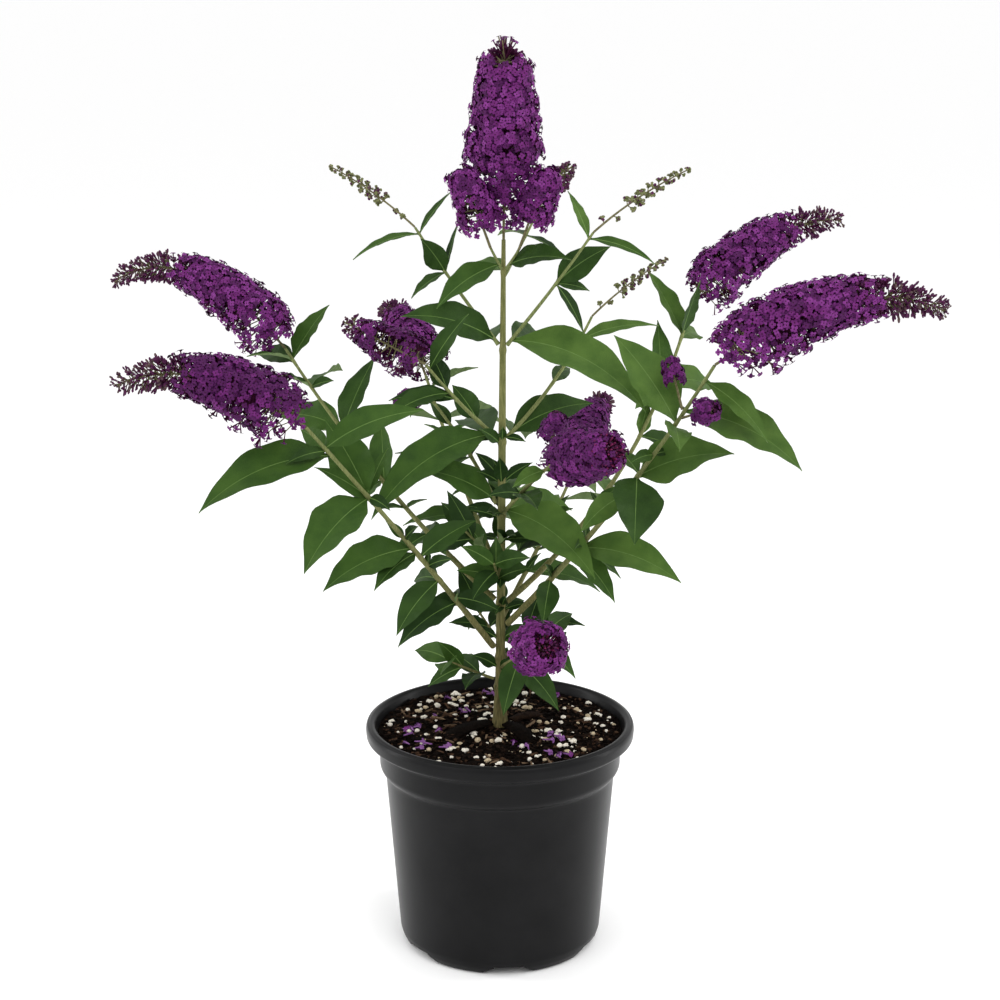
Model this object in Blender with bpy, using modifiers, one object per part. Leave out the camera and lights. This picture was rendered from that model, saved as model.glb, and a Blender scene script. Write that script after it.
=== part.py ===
"""A butterfly bush in flower, growing in a round black nursery pot.

The frame has its origin at the middle of the pot's flat underside, with +Z up, +X to the right of the
plant's front and -Y towards the front. Lengths are in metres and angles in degrees. A heading is the
compass direction of a stem or leaf seen from above, 0 towards +X and 90 towards +Y, and a rise is its
angle above the horizontal.
"""

import math
import random

import bmesh
import bpy
from mathutils import Matrix, Vector
from mathutils.bvhtree import BVHTree

# Clearance between two pieces that touch on the real plant, the distance that welds points, and the
# gap between the main stem and the foot of a shoot
GAP = 0.0003
WELD = 0.0000002
SEAT_GAP = 0.0004

# Pot, a blow-moulded container with a rolled lip, a band under it and a tapering wall
POT_STEPS = 32
POT_HEIGHT = 0.2065
LIP_RADIUS = 0.120
LIP_HEIGHT = 0.0145
LIP_INNER_RADIUS = 0.1125
BAND_RADIUS = 0.108
BAND_FOOT = 0.168
WALL_TOP_RADIUS = 0.1024
WALL_TOP = 0.157
WALL_FOOT_RADIUS = 0.0908
WALL_FOOT = 0.012
BASE_RADIUS = 0.0835
WALL_THICKNESS = 0.0020
FLOOR_THICKNESS = 0.0022
DRAIN_COUNT = 6
DRAIN_HEADING = -85
DRAIN_WIDTH = 0.046
DRAIN_TOP_WIDTH = 0.026
DRAIN_HEIGHT = 0.008
DRAIN_REACH = (0.073, 0.100)

# Potting mix, mounded a little towards the stem
SOIL_EDGE_HEIGHT = 0.1985
SOIL_EDGE_RADIUS = 0.1083
SOIL_CROWN_HEIGHT = 0.2002
SOIL_UNEVENNESS = 0.0012

# Main stem, from its cut at the surface of the mix to the foot of the top panicle
STEM_FOOT = SOIL_CROWN_HEIGHT + GAP
STEM_TOP = 0.636
STEM_LEAN = 0.4
STEM_RADII = ((0.000, 0.0092), (0.010, 0.0068), (0.026, 0.0060), (0.060, 0.0046), (0.120, 0.0041),
              (0.200, 0.0038), (0.262, 0.0036), (0.345, 0.0029), (0.412, 0.0022), (0.4355, 0.0019))
STEM_NODE_HEIGHTS = (0.3955, 0.4608, 0.5415, 0.6086)
STEM_NODE_SWELL = 1.25

# Leaf form: share of length against share of half width, then the fold along the midrib and the droop
LEAF_OUTLINE = ((0.13, 0.34), (0.39, 1.00), (0.70, 0.66))
SMALL_LEAF_OUTLINE = ((0.22, 0.66), (0.52, 1.00))
SMALL_LEAF_LENGTH = 0.060
PETIOLE_HALF_WIDTH = 0.0011
LEAF_FOLD = 0.16
LEAF_THICKNESS_SHARE = 0.013
LEAF_MIN_THICKNESS = 0.0007
DROOP_AT_REST = 20
DROOP_PER_METRE = 250

# Where a leaf turns its face: up, outwards from the stem, and towards the front where the light falls
FACE_UP = 0.8
FACE_OUT = 0.6
FACE_FRONT = 0.7
FACE_FRONT_LIMIT = 0.14

# Shoots. Each row is the height where it leaves the stem, its heading, rise, length, bend and turn,
# its radius at the foot and the tip, the bare share that is a bough, and its leaves. A leaf is its
# place along the shoot, its heading, rise and length, and its width as a share of that length.
SHOOTS = {
    "left_front": dict(
        height=0.267, heading=-146, rise=52, length=0.303, bend=-4, turn=4,
        root=0.0030, tip=0.0015, bare=0.20,
        leaves=((0.24, -150, -10, 0.068, 0.40), (0.26, 10, -5, 0.045, 0.42), (0.34, -140, -25, 0.063, 0.42),
                (0.34, 120, 0, 0.050, 0.42), (0.44, 25, 40, 0.060, 0.42), (0.46, -130, -5, 0.058, 0.40),
                (0.48, -160, 0, 0.087, 0.42), (0.70, -135, -15, 0.090, 0.50), (0.70, 140, 60, 0.078, 0.48),
                (0.69, -170, 45, 0.056, 0.26), (0.71, 60, 55, 0.048, 0.26), (0.88, -160, 6, 0.122, 0.32),
                (0.91, -15, 40, 0.094, 0.30), (0.90, -150, 5, 0.038, 0.34), (0.90, 130, 30, 0.040, 0.42))),
    "left_back": dict(
        height=0.313, heading=158, rise=38, length=0.303, bend=14, turn=-6,
        root=0.0028, tip=0.0014, bare=0.20,
        leaves=((0.26, 110, 5, 0.075, 0.40), (0.30, -160, -20, 0.050, 0.42), (0.50, 100, 75, 0.059, 0.50),
                (0.50, 35, 40, 0.040, 0.34), (0.51, -130, -15, 0.046, 0.50), (0.51, 120, 10, 0.080, 0.40),
                (0.70, 45, 65, 0.074, 0.42), (0.70, 140, 20, 0.085, 0.38), (0.86, -145, 35, 0.039, 0.46),
                (0.86, -30, 30, 0.026, 0.50), (0.86, 70, 20, 0.070, 0.36), (0.96, 30, 60, 0.060, 0.46),
                (0.96, -140, 25, 0.050, 0.34), (0.95, 130, 15, 0.060, 0.36))),
    "right_front": dict(
        height=0.290, heading=-28, rise=46.4, length=0.333, bend=10, turn=-13,
        root=0.0030, tip=0.0015, bare=0.18,
        leaves=((0.22, -100, -20, 0.050, 0.42), (0.33, -30, -30, 0.056, 0.38), (0.35, -25, 10, 0.098, 0.36),
                (0.36, 170, 20, 0.050, 0.42), (0.55, -140, -10, 0.053, 0.40), (0.62, -95, -25, 0.068, 0.66),
                (0.62, -20, 35, 0.088, 0.46), (0.63, 120, 35, 0.040, 0.36), (0.85, -17, 0, 0.110, 0.37),
                (0.81, 150, 60, 0.090, 0.46), (0.80, -90, 10, 0.060, 0.40), (0.95, -30, -20, 0.073, 0.30))),
    "right_back": dict(
        height=0.312, heading=24, rise=33, length=0.335, bend=35, turn=22, root=0.0028, tip=0.0014, bare=0.18,
        leaves=((0.24, 0, -15, 0.060, 0.42), (0.26, 80, 5, 0.070, 0.40), (0.42, 100, 20, 0.075, 0.40),
                (0.44, -30, -10, 0.045, 0.42), (0.60, 60, 65, 0.034, 0.44), (0.60, 20, -10, 0.060, 0.40),
                (0.74, -130, 0, 0.042, 0.50), (0.74, 95, 70, 0.066, 0.44), (0.75, 50, 10, 0.090, 0.38),
                (0.90, 150, 65, 0.068, 0.46), (0.90, -35, 75, 0.054, 0.34), (0.89, 70, 10, 0.070, 0.36))),
    "back_left": dict(
        height=0.336, heading=113, rise=36, length=0.238, bend=6, turn=-1, root=0.0026, tip=0.0014, bare=0.24,
        leaves=((0.30, 170, 10, 0.070, 0.40), (0.30, 50, 0, 0.085, 0.40), (0.55, 100, 5, 0.100, 0.38),
                (0.55, -170, 30, 0.060, 0.40), (0.78, 170, 15, 0.085, 0.38), (0.78, 50, 10, 0.090, 0.38),
                (0.93, 112, -15, 0.070, 0.34), (0.94, 10, 35, 0.050, 0.36))),
    "back_right": dict(
        height=0.300, heading=70, rise=20, length=0.222, bend=8, turn=-1, root=0.0026, tip=0.0014, bare=0.26,
        leaves=((0.32, 20, 0, 0.080, 0.40), (0.32, 140, 0, 0.075, 0.40), (0.58, 70, -10, 0.095, 0.38),
                (0.58, 155, -15, 0.055, 0.40), (0.80, 15, 5, 0.085, 0.38), (0.80, 125, 5, 0.090, 0.38),
                (0.95, 60, -10, 0.060, 0.34))),
    "fourth_left": dict(
        height=0.3955, heading=138, rise=57, length=0.130, bend=-14, turn=12, root=0.0021, tip=0.0012, bare=0,
        leaves=((0.00, -155, 40, 0.084, 0.36), (0.04, 70, 20, 0.085, 0.38), (0.45, 90, 30, 0.050, 0.40),
                (0.45, -130, 0, 0.034, 0.42), (0.70, 130, 40, 0.036, 0.36))),
    "fourth_right": dict(
        height=0.3955, heading=-67, rise=36, length=0.126, bend=-5, turn=1, root=0.0021, tip=0.0013, bare=0,
        leaves=((0.00, -40, 0, 0.111, 0.40), (0.05, 40, 10, 0.080, 0.38), (0.40, -140, 20, 0.036, 0.42),
                (0.40, -75, 15, 0.053, 0.46), (0.85, 10, 10, 0.045, 0.40), (0.85, -140, 0, 0.036, 0.40))),
    "third_left": dict(
        height=0.4608, heading=-158, rise=41, length=0.102, bend=10, turn=6, root=0.0021, tip=0.0012, bare=0,
        leaves=((0.00, -150, 0, 0.138, 0.29), (0.05, 110, 15, 0.095, 0.38), (0.30, 135, 50, 0.042, 0.50),
                (0.70, 125, 55, 0.038, 0.50), (0.66, -138, 8, 0.080, 0.26), (0.58, -150, 22, 0.066, 0.26),
                (0.95, -25, 62, 0.062, 0.30))),
    "third_right": dict(
        height=0.4608, heading=32, rise=36, length=0.142, bend=17, turn=13, root=0.0021, tip=0.0012, bare=0,
        leaves=((0.00, 30, 30, 0.088, 0.38), (0.05, 80, 5, 0.085, 0.38), (0.83, 15, 25, 0.075, 0.20),
                (0.83, 150, 20, 0.045, 0.24), (0.50, 70, 20, 0.050, 0.30))),
    "second_left": dict(
        height=0.5415, heading=152, rise=47, length=0.132, bend=4, turn=-2, root=0.0019, tip=0.0011, bare=0,
        leaves=((0.00, -150, 35, 0.096, 0.34), (0.05, 100, 10, 0.085, 0.36), (0.64, -155, 60, 0.038, 0.56),
                (0.64, -160, -20, 0.038, 0.40), (0.64, 40, 75, 0.046, 0.20), (0.95, -160, 0, 0.064, 0.20),
                (0.95, 35, 55, 0.048, 0.20))),
    "second_right": dict(
        height=0.5415, heading=-27, rise=49, length=0.136, bend=4, turn=-5, root=0.0019, tip=0.0011, bare=0,
        leaves=((0.00, -25, 5, 0.140, 0.31), (0.05, 62, 5, 0.095, 0.36), (0.58, 20, 0, 0.032, 0.36),
                (0.58, -40, -40, 0.050, 0.22), (0.58, 10, 45, 0.056, 0.44), (0.95, 118, 55, 0.051, 0.22),
                (0.95, -20, 0, 0.061, 0.18))),
    "first_left": dict(
        height=0.6086, heading=-124, rise=48, length=0.030, bend=1, turn=3, root=0.0014, tip=0.0011, bare=0,
        leaves=((0.00, -150, -10, 0.070, 0.36),)),
    "first_right": dict(
        height=0.6086, heading=-42, rise=46, length=0.026, bend=9, turn=6, root=0.0014, tip=0.0011, bare=0,
        leaves=((0.00, -38, 25, 0.066, 0.38),)),
    "first_back": dict(
        height=0.6030, heading=62, rise=36, length=0.088, bend=5, turn=0, root=0.0014, tip=0.0010, bare=0,
        leaves=((0.10, 130, 10, 0.070, 0.34), (0.60, -30, -10, 0.043, 0.28), (0.60, 120, 10, 0.050, 0.28))),
    "low_front": dict(
        height=0.255, heading=-73, rise=28, length=0.098, bend=-3, turn=-1, root=0.0022, tip=0.0013, bare=0,
        leaves=((0.45, -20, -30, 0.060, 0.38),
                (0.70, -125, -50, 0.054, 0.42), (0.80, -10, 0, 0.040, 0.30))),
}

# Short leafy twigs low on the stem. Each row is the height, heading, rise and length.
LOW_TWIGS = {
    "low_left": (0.243, -165, 22, 0.052),
    "low_right": (0.262, -15, 30, 0.050),
    "low_back_left": (0.278, 118, 20, 0.058),
    "low_back_right": (0.262, 52, 18, 0.056),
    "middle_front": (0.330, -100, 38, 0.046),
    "middle_right": (0.348, 8, 40, 0.050),
    "middle_left": (0.352, -170, 40, 0.047),
}
LOW_TWIG_RADII = (0.0015, 0.0010)
LOW_TWIG_PLACES = (0.40, 0.72, 0.97)
LOW_LEAF_LENGTH = (0.034, 0.052)
LOW_LEAF_WIDTH = 0.42
LOW_LEAF_SPREAD = 62

# A bloom's stalk, and how far the lumps of its floret clusters stand in or out of its outline
PEDUNCLE_RADIUS = 0.0012
CLUSTER_LUMP = 0.13
BLOOM_RING_SPACING = 0.0120
PANICLE_HOOK = 2

# Panicles. Each row is the shoot whose tip it stands on, its heading, rise, length, bend and turn,
# its greatest radius, the share of its length where the florets are open, and its tufts of florets.
PANICLES = {
    "panicle_top": ("stem", 0, 89.6, 0.166, 0, 0, 0.0370, 1.00, 5, 0.34),
    "panicle_top_left": ("first_left", -130, 62, 0.081, -12, 0, 0.0225, 1.00, 3, 0.20),
    "panicle_top_right": ("first_right", -46, 64, 0.081, -12, 0, 0.0225, 1.00, 3, 0.26),
    "panicle_left_front": ("left_front", -166, 35, 0.162, -60, -2, 0.0330, 0.66, 5, 0.03),
    "panicle_left_back": ("left_back", 168, 47, 0.184, -84, 5, 0.0310, 0.64, 5, 0.03),
    "panicle_right_front": ("right_front", -7, 35, 0.195, -62, 0, 0.0340, 0.70, 5, 0.03),
    "panicle_right_back": ("right_back", 13, 42, 0.158, -47, -4, 0.0310, 0.70, 5, 0.03),
    "panicle_back_left": ("back_left", 110, 34, 0.140, -50, 0, 0.0300, 0.66, 3, 0.03),
    "panicle_back_right": ("back_right", 74, 34, 0.140, -50, 0, 0.0300, 0.66, 3, 0.03),
    "panicle_middle_left": ("third_left", 160, 23, 0.080, 0, 0, 0.0250, 0.95, 3, 0.04),
    "panicle_middle_left_side": ("fourth_left", -150, -20, 0.034, -20, 0, 0.0130, 1.00, 0, 0.20),
    "panicle_middle_right": ("fourth_right", -58, 19, 0.096, -9, -1, 0.0305, 1.00, 5, 0.10),
    "panicle_low_front": ("low_front", -75, 22, 0.058, -1, -1, 0.0290, 1.00, 3, 0.10),
}

# Spikes still in bud. Each row is the shoot, the heading, rise, length, bend and the greatest radius.
BUD_SPIKES = {
    "bud_spike_left": ("second_left", 160, 40, 0.094, -16, 0.0075),
    "bud_spike_right": ("second_right", -20, 42, 0.098, -16, 0.0075),
    "bud_spike_middle_right": ("third_right", 24, 40, 0.088, -16, 0.0070),
    "bud_spike_back": ("first_back", 50, 45, 0.052, -20, 0.0095),
}

# The bare share of a bud spike, its whorls of buds, and the place and roll of its loose clusters
BUD_SPIKE_FOOT = 0.36
BUD_WHORLS = 7
BUD_SIDE_CLUSTERS = ((0.12, 60), (0.22, 250))

# Small side blooms. Each row is the shoot, the place along it, heading, rise, stalk, bloom and radius.
SIDE_BLOOMS = {
    "side_bloom_right": ("right_front", 0.835, -60, 20, 0.022, 0.026, 0.0150),
    "side_bloom_right_upper": ("right_front", 0.850, 170, 75, 0.020, 0.026, 0.0120),
    "side_bloom_middle_right": ("fourth_right", 0.900, 60, 70, 0.018, 0.030, 0.0140),
}

COLLECTION_NAME = "butterfly_bush"
CUTTER_COLLECTION_NAME = "cutters"


def clear_scene():
    """Remove every object that the file opens with."""
    for item in list(bpy.data.objects):
        bpy.data.objects.remove(item)


def new_collection(name):
    """Return a new collection linked to the scene."""
    made = bpy.data.collections.new(name)
    bpy.context.scene.collection.children.link(made)
    return made


def material(name, colour, roughness):
    """Return a plain surface of the given colour."""
    made = bpy.data.materials.new(name)
    made.use_nodes = True
    shader = made.node_tree.nodes["Principled BSDF"]
    shader.inputs["Base Color"].default_value = (*colour, 1.0)
    shader.inputs["Roughness"].default_value = roughness
    shader.inputs["Metallic"].default_value = 0.0
    return made


def direction(heading, rise):
    """Return the unit vector with this compass heading and this angle above the horizontal."""
    flat = math.cos(math.radians(rise))
    return Vector((flat * math.cos(math.radians(heading)), flat * math.sin(math.radians(heading)),
                   math.sin(math.radians(rise))))


def course(start, heading, rise, length, bend, turn, steps, hook=1):
    """Return points along a stem whose rise changes by bend and whose heading changes by turn.

    A hook above 1 keeps the bend for the far end.
    """
    points = [Vector(start)]
    for step in range(steps):
        share = (step + 0.5) / steps
        onward = direction(heading + turn * share, rise + bend * share ** hook)
        points.append(points[-1] + onward * (length / steps))
    return points


def place_on(points, share):
    """Return the point and the direction at a share of the way along evenly spaced points."""
    reach = share * (len(points) - 1)
    index = min(int(reach), len(points) - 2)
    span = points[index + 1] - points[index]
    return points[index] + span * (reach - index), span.normalized()


def stem_radius(height):
    """Return the main stem's radius at a height above the ground line of the pot."""
    along = height - STEM_FOOT
    for (low, low_radius), (high, high_radius) in zip(STEM_RADII, STEM_RADII[1:]):
        if along <= high:
            return low_radius + (high_radius - low_radius) * (along - low) / (high - low)
    return STEM_RADII[-1][1]


def stem_axis(height):
    """Return the middle of the main stem at a height."""
    return Vector((math.tan(math.radians(STEM_LEAN)) * (height - STEM_FOOT), 0, height))


def tube(points, radii, resolution):
    """Return a capped tube through the points, with a radius at each, as a mesh for editing."""
    widest = max(radii)
    curve = bpy.data.curves.new("tube", "CURVE")
    curve.dimensions = "3D"
    curve.bevel_depth = widest
    curve.bevel_resolution = resolution
    curve.use_fill_caps = True
    spline = curve.splines.new("POLY")
    spline.points.add(len(points) - 1)
    for target, point, radius in zip(spline.points, points, radii):
        target.co = (*point, 1.0)
        target.radius = radius / widest
    holder = bpy.data.objects.new("tube", curve)
    bpy.context.scene.collection.objects.link(holder)
    bpy.context.view_layer.update()
    mesh = bpy.data.meshes.new_from_object(holder.evaluated_get(bpy.context.evaluated_depsgraph_get()))
    bpy.data.objects.remove(holder)
    made = bmesh.new()
    made.from_mesh(mesh)
    bmesh.ops.remove_doubles(made, verts=made.verts, dist=0.00001)
    bmesh.ops.recalc_face_normals(made, faces=made.faces)
    return made


def seat_on_stem(made, start, onward, root_radius):
    """Slide the tube's foot along its own direction until it lies flat, just off the main stem's bark."""
    outward = Vector((onward.x, onward.y, 0)).normalized()
    slope = onward.dot(outward)
    for vert in made.verts:
        if (vert.co - start).length < root_radius * 1.2:
            flat = vert.co - stem_axis(vert.co.z)
            reach = stem_radius(vert.co.z) + SEAT_GAP
            vert.co += onward * ((reach - flat.dot(outward)) / slope)


def leaf_face(point):
    """Return the direction that a leaf at this point turns its upper side to."""
    outward = Vector((point.x, point.y, 0))
    if outward.length > 0:
        outward.normalize()
    facing = Vector((0, 0, FACE_UP)) + outward * FACE_OUT
    if point.y < FACE_FRONT_LIMIT:
        facing += Vector((0, -FACE_FRONT, 0))
    return facing


def loft(rings, tip):
    """Return a closed mesh that joins rings of equal count and ends in a single tip point."""
    made = bmesh.new()
    rows = [[made.verts.new(point) for point in ring] for ring in rings]
    made.faces.new(reversed(rows[0]))
    for low, high in zip(rows, rows[1:]):
        for index in range(len(low)):
            after = (index + 1) % len(low)
            made.faces.new((low[index], low[after], high[after], high[index]))
    end = made.verts.new(tip)
    for index in range(len(rows[-1])):
        made.faces.new((rows[-1][index], rows[-1][(index + 1) % len(rows[-1])], end))
    bmesh.ops.recalc_face_normals(made, faces=made.faces)
    return made


def leaf(base, heading, rise, length, width_share):
    """Return a lance-shaped leaf that arches down under its weight, folded a little along its midrib."""
    droop = -(DROOP_AT_REST + DROOP_PER_METRE * length) * math.cos(math.radians(rise))
    midrib = course(base, heading, rise, length, droop, 0, 16)
    facing = leaf_face(midrib[8])
    half_width = length * width_share / 2
    outline = SMALL_LEAF_OUTLINE if length < SMALL_LEAF_LENGTH else LEAF_OUTLINE
    thickness = max(length * LEAF_THICKNESS_SHARE, LEAF_MIN_THICKNESS)
    rings = []
    for share, breadth in ((0.0, None), *outline):
        point, along = place_on(midrib, share)
        side = along.cross(facing).normalized()
        normal = side.cross(along).normalized()
        reach = PETIOLE_HALF_WIDTH if breadth is None else max(half_width * breadth, PETIOLE_HALF_WIDTH)
        lift = 0 if breadth is None else reach * LEAF_FOLD
        rings.append((point + side * reach + normal * lift, point + normal * thickness / 2,
                      point - side * reach + normal * lift, point - normal * thickness / 2))
    return loft(rings, midrib[-1])


def tuft(point, outward, root, spread, depth):
    """Return a small flared tuft of florets that stands out along a direction, with a domed end."""
    made = bmesh.new()
    bmesh.ops.create_cone(made, cap_ends=True, segments=5, radius1=root, radius2=spread, depth=depth)
    crown = max(made.faces, key=lambda face: face.calc_center_median().z)
    bmesh.ops.poke(made, faces=[crown], offset=depth * 0.35)
    bmesh.ops.translate(made, verts=made.verts, vec=(0, 0, depth / 2))
    turn = outward.to_track_quat("Z", "Y").to_matrix().to_4x4()
    bmesh.ops.transform(made, matrix=Matrix.Translation(point) @ turn, verts=made.verts)
    return made


def swell(share, open_share):
    """Return a panicle's radius at a share of its length, as a share of its greatest radius."""
    foot = min(1.0, 0.62 + share * 3.2)
    if share <= open_share:
        tail = 0.42 if open_share < 0.9 else 0.46
        return foot * (1 - tail * (share / open_share) ** 1.6)
    along = (share - open_share) / (1 - open_share)
    return 0.40 - 0.24 * along


def bloom(rng, points, bare, radius, open_share, rings, sides):
    """Return a bloom: a thin stalk, then a tapering mass with a lump for each cluster of florets."""
    centre, along = place_on(points, 0.0)
    across = along.orthogonal().normalized()
    rows = []
    stations = [(0.0, None), (bare, None)]
    for ring in range(rings):
        share = ring / (rings - 1)
        stations.append((bare + 0.015 + (0.965 - bare) * share, share))
    for order, (place, share) in enumerate(stations):
        centre, along = place_on(points, place)
        across = (across - along * across.dot(along)).normalized()
        row = []
        for side in range(sides):
            reach = PEDUNCLE_RADIUS
            if share is not None:
                lump = CLUSTER_LUMP if (order + side) % 2 else -CLUSTER_LUMP
                closing = 0.62 if share in (0.0, 1.0) else 1.0
                reach = radius * swell(share, open_share) * closing * (1 + lump + rng.uniform(-0.08, 0.08))
            spoke = Matrix.Rotation(math.tau * side / sides, 3, along) @ across
            row.append(centre + spoke * reach)
        rows.append(row)
    return loft(rows, points[-1])


def cluster_tufts(rng, points, bare, radius, open_share, count):
    """Return separate clusters of florets that stand out of a bloom's foot, where its stalks are long."""
    pieces = []
    for index in range(count):
        share = 0.04 + 0.30 * (index + 0.5) / count
        centre, along = place_on(points, bare + (1 - bare) * share)
        around = Matrix.Rotation(math.radians(index * 137.5) + rng.uniform(-0.3, 0.3), 3, along)
        outward = (around @ along.orthogonal().normalized() + along * rng.uniform(-0.15, 0.25)).normalized()
        reach = radius * swell(share, open_share)
        spread = reach * rng.uniform(0.26, 0.34)
        pieces.append(tuft(centre + outward * reach * 0.55, outward, spread * 0.4, spread, reach * 0.58))
    return pieces


def bud_spike(points, radius):
    """Return a spike of tight buds: a thin stalk beaded with whorls, and two loose side clusters."""
    shares = [0.0, BUD_SPIKE_FOOT - 0.02]
    radii = [0.0011, 0.0009]
    for whorl in range(BUD_WHORLS):
        low = BUD_SPIKE_FOOT + (1 - BUD_SPIKE_FOOT) * whorl / BUD_WHORLS
        share = (whorl + 0.5) / BUD_WHORLS
        shares.extend((low, low + 0.62 * (1 - BUD_SPIKE_FOOT) / BUD_WHORLS))
        radii.extend((radius * 0.30, radius * (1.0 - 0.62 * share)))
    shares.append(1.0)
    radii.append(radius * 0.14)
    spike = tube([place_on(points, share)[0] for share in shares], radii, 0)
    pieces = []
    for share, roll in BUD_SIDE_CLUSTERS:
        centre, along = place_on(points, share)
        around = Matrix.Rotation(math.radians(roll), 3, along)
        outward = (around @ along.orthogonal().normalized() + along * 0.5).normalized()
        pieces.append(tuft(centre, outward, 0.0006, radius * 0.6, radius * 1.6))
    return spike, pieces


def fuse(name, collection, surface, base, pieces):
    """Join a base and its pieces by one Boolean union and keep the result as a named object."""
    helpers = bpy.data.collections.new("pieces")
    bpy.context.scene.collection.children.link(helpers)
    made = None
    for solver in ("EXACT", "MANIFOLD"):
        for piece in pieces:
            bmesh.ops.triangulate(piece, faces=piece.faces)
            mesh = bpy.data.meshes.new("piece")
            piece.to_mesh(mesh)
            helpers.objects.link(bpy.data.objects.new("piece", mesh))
        mesh = bpy.data.meshes.new(name)
        bmesh.ops.triangulate(base, faces=base.faces)
        base.to_mesh(mesh)
        carrier = bpy.data.objects.new(name, mesh)
        bpy.context.scene.collection.objects.link(carrier)
        if pieces:
            union = carrier.modifiers.new("union", "BOOLEAN")
            union.operation = "UNION"
            union.operand_type = "COLLECTION"
            union.collection = helpers
            union.solver = solver
        bpy.context.view_layer.update()
        joined = bpy.data.meshes.new_from_object(carrier.evaluated_get(bpy.context.evaluated_depsgraph_get()))
        for helper in list(helpers.objects):
            bpy.data.objects.remove(helper)
        bpy.data.objects.remove(carrier)
        made = tidy(joined)
        if all(edge.is_manifold for edge in made.edges):
            break
    bpy.data.collections.remove(helpers)
    mesh = bpy.data.meshes.new(name)
    made.to_mesh(mesh)
    mesh.materials.append(surface)
    result = bpy.data.objects.new(name, mesh)
    collection.objects.link(result)
    return result, BVHTree.FromBMesh(made)


def tidy(mesh):
    """Return the largest connected body of a mesh in triangles, without sealed hollows or scraps."""
    made = bmesh.new()
    made.from_mesh(mesh)
    bmesh.ops.triangulate(made, faces=made.faces)
    bmesh.ops.remove_doubles(made, verts=made.verts, dist=WELD)
    unseen = set(made.faces)
    bodies = []
    while unseen:
        body = set()
        edge_of_search = [next(iter(unseen))]
        while edge_of_search:
            face = edge_of_search.pop()
            if face not in unseen:
                continue
            unseen.remove(face)
            body.add(face)
            for edge in face.edges:
                edge_of_search.extend(edge.link_faces)
        bodies.append(body)
    largest = max(bodies, key=len)
    spare = [face for body in bodies if body is not largest for face in body]
    bmesh.ops.delete(made, geom=spare, context="FACES")
    loose = [vert for vert in made.verts if not vert.link_faces]
    bmesh.ops.delete(made, geom=loose, context="VERTS")
    return made


def turned(name, collection, surface, outline, steps):
    """Turn an outline of radius and height about the upright axis."""
    mesh = bpy.data.meshes.new(name)
    edges = [(index, index + 1) for index in range(len(outline) - 1)]
    mesh.from_pydata([(radius, 0, height) for radius, height in outline], edges, [])
    mesh.materials.append(surface)
    made = bpy.data.objects.new(name, mesh)
    collection.objects.link(made)
    screw = made.modifiers.new("turn", "SCREW")
    screw.steps = steps
    screw.render_steps = steps
    screw.use_merge_vertices = True
    screw.merge_threshold = 0.00001
    return made


def drain_cutters(cutters):
    """Return the wedges that open the drain notches in the pot's foot."""
    made = []
    for index in range(DRAIN_COUNT):
        bpy.ops.mesh.primitive_cube_add(size=1)
        cutter = bpy.context.active_object
        cutter.name = f"drain_{index}"
        for user in list(cutter.users_collection):
            user.objects.unlink(cutter)
        cutters.objects.link(cutter)
        depth = DRAIN_REACH[1] - DRAIN_REACH[0]
        for vert in cutter.data.vertices:
            width = DRAIN_TOP_WIDTH if vert.co.z > 0 else DRAIN_WIDTH
            height = DRAIN_HEIGHT if vert.co.z > 0 else -DRAIN_HEIGHT
            vert.co = (vert.co.x * depth, vert.co.y * width, height)
        heading = math.radians(DRAIN_HEADING + index * 360 / DRAIN_COUNT)
        middle = sum(DRAIN_REACH) / 2
        cutter.location = (middle * math.cos(heading), middle * math.sin(heading), 0)
        cutter.rotation_euler = (0, 0, heading)
        cutter.display_type = "WIRE"
        cutter.hide_render = True
        made.append(cutter)
    return made


def pot(collection, cutters, surface):
    """Build the pot: a turned shell with a rolled lip, a band, a tapering wall and drain notches."""
    lip_foot = POT_HEIGHT - LIP_HEIGHT
    inside = WALL_THICKNESS
    outline = [
        (0, FLOOR_THICKNESS),
        (BASE_RADIUS, FLOOR_THICKNESS),
        (WALL_FOOT_RADIUS - 1.4 * inside, WALL_FOOT),
        (WALL_TOP_RADIUS - inside, WALL_TOP),
        (BAND_RADIUS - inside, BAND_FOOT + 0.001),
        (BAND_RADIUS - inside, lip_foot - 0.004),
        (LIP_INNER_RADIUS - 0.0012, POT_HEIGHT - 0.0020),
        (LIP_INNER_RADIUS + 0.0010, POT_HEIGHT),
        (LIP_RADIUS - 0.0026, POT_HEIGHT - 0.0002),
        (LIP_RADIUS - 0.0006, POT_HEIGHT - 0.0018),
        (LIP_RADIUS, POT_HEIGHT - 0.0048),
        (LIP_RADIUS - 0.0012, lip_foot),
        (BAND_RADIUS + 0.0028, lip_foot - 0.0024),
        (BAND_RADIUS, lip_foot - 0.0060),
        (BAND_RADIUS - 0.0003, BAND_FOOT),
        (BAND_RADIUS - 0.0016, BAND_FOOT - 0.0034),
        (WALL_TOP_RADIUS, WALL_TOP),
        (WALL_FOOT_RADIUS, WALL_FOOT),
        (BASE_RADIUS + 0.0026, 0.0012),
        (BASE_RADIUS, 0),
        (0, 0),
    ]
    made = turned("pot", collection, surface, outline, POT_STEPS)
    for cutter in drain_cutters(cutters):
        notch = made.modifiers.new(cutter.name, "BOOLEAN")
        notch.operation = "DIFFERENCE"
        notch.object = cutter
    return made


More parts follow.
